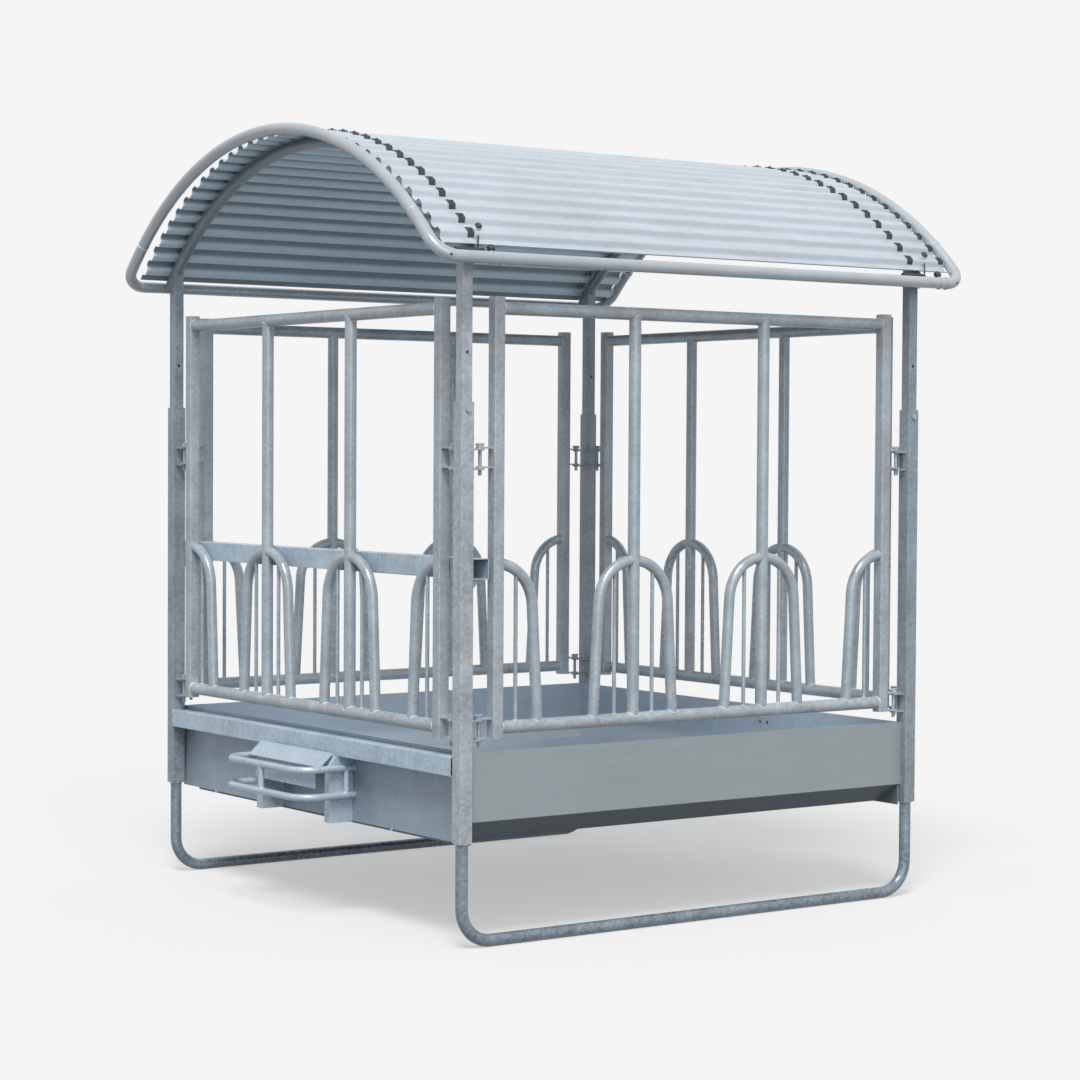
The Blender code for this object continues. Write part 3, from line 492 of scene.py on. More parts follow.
def rolled(name, tone, spread, rough, metal, dark=None, pale=None):
    """Rolled sheet: long faint streaks, a broad change of tone and very little relief. The
    share dark of painted shade in the ribs' hollows and the share pale of painted light,
    bounced, at the foot are optional."""
    tree = Tree(bpy.data.materials.new(name))
    streaks = tree.noise(STREAK_SCALE, 4.0, (0.15, 1.0, 1.0))
    broad = tree.noise(BROAD_SCALE, 3.0)
    cells = tree.crystals(SHEET_CRYSTALS)
    share = 0.5 + 0.8 * (streaks - 0.5) + 0.9 * (broad - 0.5) + 0.12 * (cells - 0.5)
    relief = tree.bumped(SHEET_BUMP, SHEET_RELIEF, broad + 0.2 * streaks)
    colour = tree.mixed(share, *shades(tone, spread))
    parts = tree.node("ShaderNodeSeparateXYZ", {}, {"Vector": tree.place()})
    y, z = parts.also("Y"), parts.also("Z")
    # Painted shade: the hollows of the ribs, which lie further from the barrel's axis, are
    # darkened.
    if dark:
        rise = z - BARREL_HEIGHT
        square = y * y + rise * rise
        from_axis = square.maths("SQRT", square)
        hollows = from_axis.between(SHEET_RADIUS + 0.3 * RIB, SHEET_RADIUS + 0.9 * RIB)
        colour = tree.mixed(dark * hollows, colour, HOLLOW_SHADE)
    # Painted light: the foot of the wall, under the two heights, is made paler, as if lit by light
    # bounced from the floor.
    if pale:
        foot = 1 - (z + 0.02 * (streaks - 0.5)).between(ALL_LIT, NONE_LIT)
        colour = tree.mixed(pale * foot, colour, FOOT_LIGHT)
    return tree.surface(colour, rough + 0.2 * (streaks - 0.5), metal, relief)


trough_sheet = rolled("trough sheet", (0.32, 0.36, 0.375), 0.10, 0.42, 0.2)
# A dark copy of the sheet for the trough's underside: painted shade.
trough_underside_shade = rolled("trough underside shade", (0.13, 0.16, 0.18), 0.15, 0.70, 0.0)
# The trough's inside is a lighter copy of the sheet, painted light against its shade, with painted
# bounce light at the foot.
inside_zinc = rolled("trough inside", (0.46, 0.54, 0.62), 0.15, 0.34, 0.3, pale=0.7)
roof_outside = rolled("roof sheet outside", (0.56, 0.61, 0.66), 0.16, 0.36, 0.3)
# The roof's inside has painted shade in the hollows of its ribs.
roof_inside = rolled("roof sheet inside", (0.66, 0.785, 0.865), 0.12, 0.50, 0.2, dark=0.6)
print("sheet finishes:", len(bpy.data.materials) - zinc_count)

# %% [markdown]
# A weld between two tubes follows the curve in which they meet. Round the smaller bar, that
# curve rises where the larger one curves away: its height over the larger tube's axis is the
# square root of its radius squared less the sideways distance squared. A thin round bead
# swept along the curve, with a ripple in its thickness, is the weld.

# %% Weld beads
BEAD = 0.0052


def bead(centre, axis, across, bar_size, onto=0.0, size=BEAD, ripples=26):
    """A closed bead round a bar that leaves centre along axis, where it meets a tube of
    diameter onto that runs across both other directions."""
    axis, across = np.asarray(axis, float), np.asarray(across, float)
    third = np.cross(axis, across)
    angle = np.linspace(0, 2 * np.pi, 48, endpoint=False)
    sideways = bar_size / 2 * np.sin(angle)
    rise = np.sqrt(np.maximum((onto / 2) ** 2 - sideways**2, 0))
    path = np.asarray(centre) + rise[:, None] * axis + sideways[:, None] * across
    path = path + (bar_size / 2 * np.cos(angle))[:, None] * third
    thick = 1 + 0.16 * np.sin(ripples * angle)
    outline = circle(size, 8)[None] * thick[:, None, None]
    return carried(path, outline, axis, closed=True)


# %% [markdown]
# One feed front is drawn for the near side and turned to the other three. Its arches are a
# half circle of tube whose legs run straight to the bottom rail and spread a little, so the
# crown's arc ends where a line from the foot touches the circle.

# %% Arch path
ARCH_STEPS = 32


def arch(middle, first=True, last=True):
    """Foot, crown arc and foot in the front's plane; first and last say which legs it has."""
    drop = CROWN_CENTRE - BOTTOM_RAIL
    reach = math.hypot(FOOT_HALF, drop)
    spring = math.atan2(-drop, FOOT_HALF) + math.acos(CROWN_RADIUS / reach)
    start = math.pi - spring if first else math.pi / 2
    end = spring if last else math.pi / 2
    angle = np.linspace(start, end, ARCH_STEPS if first and last else ARCH_STEPS // 2)
    crown_x = middle + CROWN_RADIUS * np.cos(angle)
    crown = np.stack([crown_x, -POST + 0 * angle, CROWN_CENTRE + CROWN_RADIUS * np.sin(angle)], 1)
    feet = [np.array([[middle + side * FOOT_HALF, -POST, BOTTOM_RAIL]]) for side in (-1, 1)]
    before = feet[:1] if first else []
    after = feet[1:] if last else []
    return np.concatenate(before + [crown] + after)


print("points on an arch's path:", len(arch(0)))

# %% [markdown]
# The plates at the pins are short lugs with a round end. Seen from the pin's hole, every
# point of the outline lies in a different direction, so the lug is a ring: for each angle
# round the hole, a small rectangle runs from the hole's edge to the outline.

# %% Lug
SLOT_ANGLES = 0.62 * np.pi, 2.5 * np.pi - 0.12 * np.pi
LEAST = 1e-6


def lug(side, bottom, slot):
    """Section from the hole to the outline at each angle. A slot leaves out the angles inwards."""
    start, end = SLOT_ANGLES if slot else (0, 2 * np.pi)
    angle = np.linspace(start, end, 49)
    root = PIN_PLACE - (UPRIGHT_PLACE + UPRIGHT_SIDE / 2) + LUG_THICKNESS / 2
    toward = -side * np.cos(angle)
    straight = np.minimum(
        root / np.maximum(toward, LEAST), LUG_RADIUS / np.maximum(np.abs(np.sin(angle)), LEAST))
    outer = np.where(toward > 0, straight, LUG_RADIUS)
    inner = np.full_like(outer, PIN_HOLE / 2)
    radius = np.stack([inner, outer, outer, inner, inner], axis=1)
    height = bottom + LUG_THICKNESS * np.array([0, 0, 1, 1, 0])
    x = side * PIN_PLACE + radius * np.cos(angle)[:, None]
    y = -POST + radius * np.sin(angle)[:, None]
    rows = np.stack([x, y, np.broadcast_to(height, x.shape)], axis=-1)
    return capped(rows) if slot else rows


print("lug from hole to edge:", round(LUG_RADIUS - PIN_HOLE / 2, 4))

# %% [markdown]
# The front's two uprights are square tube with lugs, its two rails are round and end a little
# inside the uprights. An arch in the middle has two legs and a long bar; one at an upright is
# cut in half by it. Thin bars stand either side of each middle and end on the crown.

# %% Feed front
UPRIGHT_BEND, BORE_BEND, BORE_LESS = 0.005, 0.002, 0.006
RAIL_INTO, SMALL_BEAD = 0.002, 0.0036


def front_grids():
    """Uprights, rails and lugs of the near front."""
    grids = []
    square = rounded(UPRIGHT_SIDE, UPRIGHT_SIDE, UPRIGHT_BEND)
    bore = rounded(UPRIGHT_SIDE - BORE_LESS, UPRIGHT_SIDE - BORE_LESS, BORE_BEND)
    for side in (-1, 1):
        x = side * UPRIGHT_PLACE
        grids.append(hollow((x, -POST, GATE_BOTTOM), (x, -POST, GATE_TOP), square, bore))
        for height in LUG_HEIGHTS:
            for shift in (0, LUG_SPACING):
                grids.append(lug(side, height + shift, side > 0))
    inner = UPRIGHT_PLACE - UPRIGHT_SIDE / 2 + RAIL_INTO
    for height in (BOTTOM_RAIL, TOP_RAIL):
        ends = [(end, -POST, height) for end in (-inner, inner)]
        grids.append(bar(*ends, circle(GATE_RAIL, 28)))
    return grids


def arch_grids(middle, side=0):
    """A whole arch with its long bar, or half an arch on an upright, and its thin bars."""
    grids = []
    path = arch(middle, side >= 0, side <= 0)
    grids.append(capped(carried(path, circle(ARCH_TUBE), (0, 1, 0))))
    rise = math.sqrt(CROWN_RADIUS**2 - THIN_OFFSET**2)
    for x in (middle - THIN_OFFSET, middle + THIN_OFFSET):
        if side * (middle - x) >= 0:
            ends = (x, -POST, BOTTOM_RAIL), (x, -POST, CROWN_CENTRE + rise)
            grids.append(bar(*ends, circle(THIN_BAR, 14)))
    if not side:
        ends = (middle, -POST, BOTTOM_RAIL), (middle, -POST, TOP_RAIL)
        grids.append(bar(*ends, circle(LONG_BAR)))
    return grids


def front_beads():
    """Beads where the bars of the near front meet its rails, uprights and each other."""
    up, down, across = (0, 0, 1), (0, 0, -1), (0, 1, 0)
    beads = []
    for middle in (-ARCH_PITCH / 2, ARCH_PITCH / 2):
        beads.append(bead((middle, -POST, BOTTOM_RAIL), up, across, LONG_BAR, GATE_RAIL))
        beads.append(bead((middle, -POST, TOP_RAIL), down, across, LONG_BAR, GATE_RAIL))
    for middle in (-UPRIGHT_PLACE, -ARCH_PITCH / 2, ARCH_PITCH / 2, UPRIGHT_PLACE):
        for side in (-1, 1):
            x = middle + side * FOOT_HALF
            if abs(x) < UPRIGHT_PLACE:
                beads.append(bead((x, -POST, BOTTOM_RAIL), up, across, ARCH_TUBE, GATE_RAIL))
            x = middle + side * THIN_OFFSET
            if abs(x) < UPRIGHT_PLACE:
                place = (x, -POST, BOTTOM_RAIL)
                beads.append(bead(place, up, across, THIN_BAR, GATE_RAIL, SMALL_BEAD, 12))
    for side in (-1, 1):
        face = side * (UPRIGHT_PLACE - UPRIGHT_SIDE / 2)
        for height in (BOTTOM_RAIL, TOP_RAIL):
            beads.append(bead((face, -POST, height), (side, 0, 0), across, GATE_RAIL))
    return beads


print("beads on a front:", len(front_beads()))

# %% [markdown]
# The same grids are turned by whole quarter turns for the other three sides. Each drawn piece
# stands for the solid of its own name.

# %% Four feed fronts
units = {
    "frame": (front_grids(), front_zinc, "front_frame"),
    "arch_left": (arch_grids(-ARCH_PITCH / 2), bar_zinc, "front_bar"),
    "arch_right": (arch_grids(ARCH_PITCH / 2), bar_zinc, "front_bar"),
    "half_arch_left": (arch_grids(-UPRIGHT_PLACE, -1), bar_zinc, "front_bar"),
    "half_arch_right": (arch_grids(UPRIGHT_PLACE, 1), bar_zinc, "front_bar"),
}
near_beads = front_beads()
for gate, quarters in QUARTERS.items():
    body = f"gate_{gate}"
    for unit_name, (grids, finish, slot) in units.items():
        name = f"{body}_{unit_name}"
        mesh = mesh_from(name, [turned(grid, quarters) for grid in grids])
        piece("drawn_" + name, mesh, finish, body, slot, name)
    mesh = mesh_from(body + "_welds", [turned(grid, quarters) for grid in near_beads])
    piece(f"drawn_{body}_welds", mesh, weld_zinc, body, "front_frame")
print("feed fronts:", len(QUARTERS))

# %% [markdown]
# Each skid is one tube that runs down out of a sleeve, along the ground and up into the
# next sleeve. A heavy bead goes round it where the sleeve ends.

# %% Skids
SKID_BEAD = 0.008
for name, side in (("skid_near", -1), ("skid_far", 1)):
    y, ground = side * POST, SKID_TUBE / 2
    corners = [(-POST, y, SKID_TOP), (-POST, y, ground), (POST, y, ground), (POST, y, SKID_TOP)]
    grid = capped(carried(bent(corners, SKID_BEND), circle(SKID_TUBE, 28), (0, 1, 0)))
    piece("drawn_" + name, mesh_from(name, [grid]), skid_zinc, "base", "skid_tube", name)
sleeve_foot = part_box("sleeve_near")[0][2]
corners = [(x, y, sleeve_foot) for x in (-POST, POST) for y in (-POST, POST)]
grids = [bead(corner, (0, 0, 1), (0, 1, 0), SKID_TUBE, 0.0, SKID_BEAD) for corner in corners]
piece("skid_welds", mesh_from("skid_welds", grids), weld_zinc, "base", "skid_tube")
print("skids drawn, sleeves end at", round(sleeve_foot, 4))

# %% [markdown]
# The roof hangs on a barrel: a point is given by its place along X, its arc length from the
# ridge and its radius. A rounded rectangle drawn flat and then wrapped on the barrel gives
# the tube that makes both end hoops and both eaves.

# %% Roof tubes
HOOP_STEPS, SHORT_ANGLE = 96, 0.016


def on_barrel(x, along, radius=ROOF_RADIUS):
    """Wraps flat places on the barrel: the angle is the arc length over the roof's radius."""
    x, along, radius = np.broadcast_arrays(np.asarray(x, float), along, radius)
    angle = along / ROOF_RADIUS
    return np.stack([x, radius * np.sin(angle), BARREL_HEIGHT + radius * np.cos(angle)], axis=-1)


def loop_path():
    """The rounded rectangle: quarter circles at the corners and even steps along the hoops."""
    outline = rounded(2 * END_HOOP, 2 * EAVE, ROOF_CORNER, 12)[:-1]
    hoop = np.linspace(EAVE - ROOF_CORNER, ROOF_CORNER - EAVE, HOOP_STEPS)[1:-1]
    at = len(outline) // 4
    left = np.stack([-END_HOOP + 0 * hoop, hoop], axis=1)
    right = np.stack([END_HOOP + 0 * hoop, -hoop], axis=1)
    return np.concatenate([outline[:2 * at], left, outline[2 * at:], right])


flat = loop_path()
path = on_barrel(flat[:, 0], flat[:, 1])
outward = (path - (0, 0, BARREL_HEIGHT)) * (0, 1, 1)
loop = carried(path, circle(ROOF_TUBE, 28), outward, closed=True)
mesh = mesh_from("roof_loop", [loop])
piece("drawn_roof_loop", mesh, roof_zinc, "roof", "roof_tube", "roof_loop")
# The inner hoops take the darker zinc, which is painted shade.
for name, side in (("roof_hoop_hitch", -1), ("roof_hoop_far", 1)):
    reach = (EAVE_ANGLE - SHORT_ANGLE) * ROOF_RADIUS
    along = np.linspace(-reach, reach, 90)
    path = on_barrel(side * POST, along, INNER_HOOP_RADIUS)
    grid = capped(carried(path, circle(ROOF_TUBE, 28), (1, 0, 0)))
    piece("drawn_" + name, mesh_from(name, [grid]), shaded_hoop_zinc, "roof", "roof_tube", name)
print("roof loop points:", len(flat))

# %% [markdown]
# The roof sheet has flat crests and flat valleys with sloping sides. Across the barrel its
# height is a clipped ramp, averaged over the width of a bend so that the edges are round.
# The outer and inner faces are a sheet's thickness apart and meet along the rim. The far
# edge lies nearer to its eave than the near one does.

# %% Roof sheet
SHEET_STEP, SHEET_THICK, FAR_LAP = 0.0022, 0.0012, 0.022
RAMP = PITCH * FLANK_SHARE


def rib_height(along):
    """1 on a crest, 0 in a valley and a straight ramp on the flanks, by distance from a crest."""
    from_crest = np.abs((along + PITCH / 2) % PITCH - PITCH / 2)
    return np.clip((PITCH * (CREST_SHARE / 2 + FLANK_SHARE) - from_crest) / RAMP, 0, 1)


def sheet_grid():
    """Rows along X of a closed section: the outer face there, the inner face back."""
    far_edge = SHEET_EDGE + FAR_LAP
    along = np.linspace(-SHEET_EDGE, far_edge, int((far_edge + SHEET_EDGE) / SHEET_STEP))
    kernel = np.ones(3) / 3
    height = np.convolve(np.pad(rib_height(along), 1, "edge"), kernel, "valid") * RIB
    x = np.linspace(SHEET_START, SHEET_END, 22)[:, None]
    outer = on_barrel(x, along, SHEET_RADIUS + height + SHEET_THICK)
    inner = on_barrel(x, along, SHEET_RADIUS + height)
    middle = (outer + inner) / 2
    outer[0], outer[-1], inner[0], inner[-1] = middle[0], middle[-1], middle[0], middle[-1]
    return np.concatenate([middle[:, :1], outer, middle[:, -1:], inner[:, ::-1], middle[:, :1]], 1)


mesh = mesh_from("roof_sheet", [sheet_grid()], sharp=60)
piece("drawn_roof_sheet", mesh, roof_outside, "roof", "roof_sheet", "roof_sheet")
middle, normal = face_table(mesh)
inward = (normal[:, 1:] * (middle[:, 1:] - (0, BARREL_HEIGHT))).sum(axis=1) < 0
# The inward faces take the inside finish, with its painted shade in the hollows.
share_faces(mesh, inward, roof_inside)
print("roof sheet faces:", len(mesh.polygons), "inside:", int(inward.sum()))

# %% [markdown]
# Over each inner hoop a dark saddle holds down every crest; its near black is partly painted
# shade, the dark of the hollow under it. It is bent to the rib, so it is a strip of the sheet's
# own section, lifted off it and closed, with a bolt head on top. Where the crests end at the far
# hoop, shorter near-black saddles are painted shade, the dark of the hoop's shaded side past
# the crests' ends. A row of saddles is given by its place along X and by how long and how wide
# each one is.

# %% Roof saddles
SADDLE_THICK, SHEET_FACE = 0.0035, 0.0014
SADDLE_ROWS = ((-0.995, 0.025, 0.042), (0.970, 0.025, 0.042), (1.126, 0.022, 0.034))
HEAD_SIZE, HEAD_HEIGHT = 0.010, 0.006


def saddle(x, crest, long, wide):
    """A closed strip over one crest: the sheet's section lifted by the saddle's thickness."""
    along = crest + np.linspace(-wide / 2, wide / 2, 25)
    radius = SHEET_RADIUS + RIB * rib_height(along) + SHEET_FACE
    ends = x + np.array([[-0.5], [0.5]]) * long
    outer = on_barrel(ends, along, radius + SADDLE_THICK)
    inner = on_barrel(ends, along, radius)
    return capped(np.concatenate([outer, inner[:, ::-1], outer[:, :1]], axis=1))


def dome(x, along, radius, size, height, power=0.5):
    """A rounded block: each cosine and sine of a ball is raised to a power."""
    u = np.linspace(-np.pi / 2, np.pi / 2, 9)[:, None]
    v = np.linspace(0, 2 * np.pi, 13)

    def raised(value):
        return np.sign(value) * np.abs(value) ** power

    a = raised(np.cos(u)) * raised(np.cos(v)) * size / 2
    b = raised(np.cos(u)) * raised(np.sin(v)) * size / 2
    c = raised(np.sin(u)) * np.ones_like(v) * height / 2
    return on_barrel(x + a, along + b, radius + c)


ribs = int(SHEET_EDGE / PITCH)
crests = np.arange(-ribs, ribs + 1) * PITCH
top = SHEET_RADIUS + RIB + SHEET_FACE + SADDLE_THICK
grids = [saddle(x, crest, long, wide) for x, long, wide in SADDLE_ROWS for crest in crests]
grids += [dome(row[0], crest, top + 0.001, HEAD_SIZE, HEAD_HEIGHT)
          for row in SADDLE_ROWS for crest in crests]
# The saddles' near black is partly painted shade.
piece("roof_saddles", mesh_from("roof_saddles", grids), fixing_and_shade_zinc, "roof", "fixing")
print("roof saddles:", len(crests) * len(SADDLE_ROWS))

# %% [markdown]
# At each post a bolt on the last crest and a second one in a clip round the eave tube are
# joined by a thin rod. On the near side a short bar fills the gap under the sheet's edge.
# Rings on the end hoops are the joints between the hoop and its bent corners, and each bent
# corner has a dark plug, painted shade, where its small drain hole is.

# %% Eave fixings, rings and drain holes
VALLEY = SHEET_RADIUS + 0.004
POST_FIXINGS = ((-0.955, -0.023), (1.057, -0.030))
CREST_BOLT, ROD_TOP, ROD_FOOT, CLIP_BOLT = 1.108, 1.130, 1.186, 1.206
ROD_SHIFT, CLIP_SHIFT, CLIP_HALF = -0.005, 0.008, 0.017
ROD_SIZE, CLIP_WIRE, RING_BEAD = 0.006, 0.0036, 0.0040
CREST_HEAD, CLIP_HEAD, HEAD_LIFT = (0.022, 0.012), (0.024, 0.020), 0.004
GAP_BARS, GAP_ALONG, GAP_HALF, GAP_SIZE = (-1.025, 0.955), 1.203, 0.055, 0.016
RING_ALONG = 1.035
DRAIN_PLACE, DRAIN_WAY, DRAIN_SIZE = (1.1291, 1.1155, 2.2881), (0.312, 0.945, -0.102), 0.009


def barrel_bar(start, end, size):
    """A round bar between two places given as x, arc length and radius."""
    return bar(on_barrel(*start), on_barrel(*end), circle(size, 12))


def clip(x, side):
    """A wire ring round the eave tube."""
    angle = np.linspace(0, 2 * np.pi, 32, endpoint=False)
    y, z = np.cos(angle), np.sin(angle)
    path = on_barrel(x, side * EAVE) + np.stack([0 * y, y, z], axis=1) * (ROOF_TUBE / 2 + 0.001)
    return carried(path, circle(CLIP_WIRE, 8), (1, 0, 0), closed=True)


def ring(x, along):
    """A bead round the loop's tube, across its run round the barrel."""
    angle = along / ROOF_RADIUS
    tangent = (0, math.cos(angle), -math.sin(angle))
    return bead(on_barrel(x, along), tangent, (1, 0, 0), ROOF_TUBE, 0.0, RING_BEAD, 40)


def drain(x_sign, side):
    """A dark plug in the outer face of the loop's bent corner: painted shade of its drain hole."""
    place, out = np.array([DRAIN_PLACE, DRAIN_WAY]) * (x_sign, side, 1)
    return bar(place - out * 0.002, place + out * 0.0008, circle(DRAIN_SIZE, 12))


grids, clips, rings = [], [], []
for side in (-1, 1):
    for x, lean in POST_FIXINGS:
        grids.append(dome(x, side * CREST_BOLT, top + HEAD_LIFT, *CREST_HEAD))
        rod_top = (x + ROD_SHIFT, side * ROD_TOP, VALLEY + 0.010)
        rod_foot = (x + ROD_SHIFT + lean, side * ROD_FOOT, VALLEY)
        grids.append(barrel_bar(rod_top, rod_foot, ROD_SIZE))
        x = x + CLIP_SHIFT
        grids.append(dome(x, side * CLIP_BOLT, ROOF_RADIUS + HEAD_LIFT, *CLIP_HEAD))
        clips += [clip(x + shift, side) for shift in (-CLIP_HALF, CLIP_HALF)]
    for x in (-END_HOOP, END_HOOP):
        rings.append(ring(x, side * RING_ALONG))
for x in GAP_BARS:
    ends = [(x + shift, -GAP_ALONG, VALLEY) for shift in (-GAP_HALF, GAP_HALF)]
    grids.append(barrel_bar(*ends, GAP_SIZE))
drains = [drain(x_sign, side) for x_sign in (-1, 1) for side in (-1, 1)]
piece("eave_fixings", mesh_from("eave_fixings", grids + drains), fixing_and_shade_zinc, "roof", "fixing")
piece("eave_clips", mesh_from("eave_clips", clips), roof_zinc, "roof", "fixing")
piece("hoop_rings", mesh_from("hoop_rings", rings), weld_zinc, "roof", "roof_tube")
print("eave fixings:", len(grids), "clips:", len(clips), "rings:", len(rings))

# %% [markdown]
# Posts, sleeves, rails, beam, bracket and trough have holes, slopes and plates that the
# solids already hold. A copy of a solid is merged and its flat faces joined up again, then a
# bevel rounds the long edges, which are the bent corners of the tube, more than the others.

# %% Pieces copied from their solids
COPY_MERGE, SMALL_EDGE, LONG_EDGE = 2e-5, 0.0008, 0.12
POST_BEND, BEAM_BEND, BRACKET_BEND = 0.0025, 0.0028, 0.002


def copied(node):
    """The node's own shape, loose, with its doubles merged and its flat faces joined."""
    shape = bmesh.new()
    shape.from_mesh(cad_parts[node].data)
    bmesh.ops.remove_doubles(shape, verts=shape.verts, dist=COPY_MERGE)
    bmesh.ops.dissolve_limit(
        shape, angle_limit=math.radians(1), verts=shape.verts, edges=shape.edges)
    return shape


def mesh_of(shape, name):
    """The finished shape as a mesh."""
    mesh = bpy.data.meshes.new(name)
    shape.to_mesh(mesh)
    shape.free()
    return mesh


def softened(node, finish, body, slot, corner):
    """The node's own shape with its long edges rounded to corner and the rest to SMALL_EDGE."""
    shape = copied(node)
    weight = shape.edges.layers.float.new("bevel_weight_edge")
    for line in shape.edges:
        if line.is_manifold and line.calc_face_angle() > math.radians(30):
            bend = line.calc_length() > LONG_EDGE and line.is_convex
            line[weight] = 1.0 if bend else SMALL_EDGE / corner
    mesh = mesh_of(shape, node)
    made = piece("drawn_" + node, mesh, finish, body, slot, node)
    bevel = made.modifiers.new("edges", "BEVEL")
    bevel.limit_method = "WEIGHT"
    bevel.width = corner
    bevel.segments = 3
    mesh.shade_smooth()
    mesh.set_sharp_from_angle(angle=math.radians(35))


for corner_name in CORNERS:
    zinc = near_zinc if corner_name == "near" else post_zinc
    softened("sleeve_" + corner_name, zinc, "base", "sleeve_tube", POST_BEND)
    softened("roof_post_" + corner_name, zinc, "roof", "roof_post", POST_BEND)
softened("trough_rail_hitch", frame_zinc, "base", "frame_tube", BEAM_BEND)
softened("cross_beam", frame_zinc, "base", "frame_tube", BEAM_BEND)
softened("hitch_bracket", hitch_zinc, "base", "hitch", BRACKET_BEND)
print("softened copies:", 2 * len(CORNERS) + 3)

# %% [markdown]
# The trough is thin sheet with sharp bends, so its copy stays as it is. What matters is that
# its faces differ: even grey sides, blotchy zinc on the end panels, a glossier and lighter
# inside, which is painted light, and a dark underside, which is painted shade. Each face takes
# its finish from where it lies and which way it points.

# %% Trough and far rail
FLOOR_LEVEL, UPWARD = 0.38, 0.3

mesh = mesh_of(copied("trough_tray"), "trough_tray")
piece("drawn_trough_tray", mesh, trough_sheet, "base", "trough_sheet", "trough_tray")
middle, normal = face_table(mesh)
across = np.abs(normal[:, 0]) > 0.9
up, down = normal[:, 2] > UPWARD, normal[:, 2] < -UPWARD
inward = (normal[:, :2] * middle[:, :2]).sum(axis=1) < -0.01
end_face = across & (np.abs(middle[:, 0]) > END_WALL - 0.001)
beside_slope = inward & across & (np.abs(middle[:, 1]) > 0.5)
# Painted shade: faces that point down, faces low on the trough that do not point up, and the inward
# ends beside the slopes take the dark underside finish.
low = down | ((middle[:, 2] < FLOOR_LEVEL) & (normal[:, 2] < UPWARD)) | beside_slope
finishes = np.select([low, end_face, inward | up], [3, 1, 2], 0)
share_faces(mesh, finishes, panel_zinc, inside_zinc, trough_underside_shade)

mesh = mesh_of(copied("trough_rail_far"), "trough_rail_far")
piece("drawn_trough_rail_far", mesh, frame_zinc, "base", "frame_tube", "trough_rail_far")
print("trough faces by finish:", np.bincount(finishes))

# %% [markdown]
# The bracket's cover is a plate that slopes out over the upper bar, wider than the slope of
# the side tubes, and a second plate closes most of the front between the two bars. Small
# drops of weld hang under the end panel. A dome with no radius is flat, which suits a drop.

# %% Bracket plates
COVER, COVER_ENDS, COVER_THICK = [(-1.046, 0.5860), (-1.099, 0.5375)], (0.249, -0.254), 0.005
FRONT, FRONT_ENDS, FRONT_THICK = [(-1.0635, 0.5400), (-1.0635, 0.4520)], (0.258, -0.165), 0.004
DROP_X, DROP_HEIGHT, DROP_PLACES = -0.9700, 0.3425, (0.73, -0.083, -0.52)


def plate(profile, ends, thick):
    """A closed plate with rounded edges: a line of two (x, z) points made thick, along Y."""
    first, last = np.array(profile[0], float), np.array(profile[1], float)
    along = unit(last - first)
    across = np.array([-along[1], along[0]])
    outline = rounded(np.linalg.norm(last - first), thick, 0.0018, 3)
    section = (first + last) / 2 + outline[:, :1] * along + outline[:, 1:2] * across
    y = np.array(ends)[:, None]
    x, z = section[:, 0], section[:, 1]
    return capped(np.stack(np.broadcast_arrays(x, y, z), axis=-1))


grids = [plate(COVER, COVER_ENDS, COVER_THICK), plate(FRONT, FRONT_ENDS, FRONT_THICK)]
piece("bracket_plates", mesh_from("bracket_plates", grids), hitch_zinc, "base", "hitch")
drop = dome(DROP_X, 0, 0, 0.011, 0.010, 1.0) - (0, 0, BARREL_HEIGHT)
drops = [drop + (0, y, DROP_HEIGHT) for y in DROP_PLACES]
piece("panel_drops", mesh_from("panel_drops", drops), weld_zinc, "base", "trough_sheet")
print("bracket plates:", len(grids), "drops:", len(drops))

# %% [markdown]
# The drawbar is two bars bent to the same shape, one over the other, with short stubs
# between them. Its legs run along the outer faces of the bracket's side tubes.

# %% Drawbar
LOOP_BAR, LOOP_REACH, LOOP_BEND = 0.025, 0.224, 0.080
LOOP_HEIGHTS = (0.533, 0.437)
BRACKET_SPACING, BRACKET_TUBE = 0.480, 0.040
LOOP_LEG = BRACKET_SPACING / 2 + BRACKET_TUBE / 2 + TOUCH + LOOP_BAR / 2
STUB, STUB_BEAD, STUB_AT = 0.022, 0.004, 0.035
tip = HITCH_PANEL + LOOP_REACH
grids = []
for height in LOOP_HEIGHTS:
    corners = [(-HITCH_PANEL, -LOOP_LEG, height), (-tip, -LOOP_LEG, height),
               (-tip, LOOP_LEG, height), (-HITCH_PANEL, LOOP_LEG, height)]
    path = bent(corners, LOOP_BEND)
    grids.append(capped(carried(path, circle(LOOP_BAR), (0, 0, 1))))
beads = []
for x, y in ((-tip, 0), (-HITCH_PANEL - STUB_AT, -LOOP_LEG), (-HITCH_PANEL - STUB_AT, LOOP_LEG)):
    ends = [(x, y, height) for height in LOOP_HEIGHTS]
    grids.append(bar(*ends, circle(STUB)))
    sideways = (1, 0, 0) if y == 0 else (0, 1, 0)
    for end, way in zip(ends, (-1, 1)):
        beads.append(bead(end, (0, 0, way), sideways, STUB, LOOP_BAR, STUB_BEAD, 18))
piece("drawn_hitch_loop", mesh_from("hitch_loop", grids), hitch_zinc, "base", "hitch", "hitch_loop")
piece("hitch_welds", mesh_from("hitch_welds", beads), weld_zinc, "base", "hitch")
print("drawbar beads:", len(beads))

# %% [markdown]
# A drop pin is turned about one line: a shank with a chamfered tip, a collar, and a short
# cross handle with round ends.

# %% Pins and clamp screws
PIN_SIDES, TIP, CHAMFER = 20, 0.018, 0.0015
COLLAR_RADIUS, COLLAR_HEIGHT, COLLAR_EDGE = 0.011, 0.005, 0.0006
HANDLE_BAR, HANDLE_HALF, HANDLE_ROUND, HANDLE_LIFT = 0.009, 0.0135, 0.0045, 0.0027


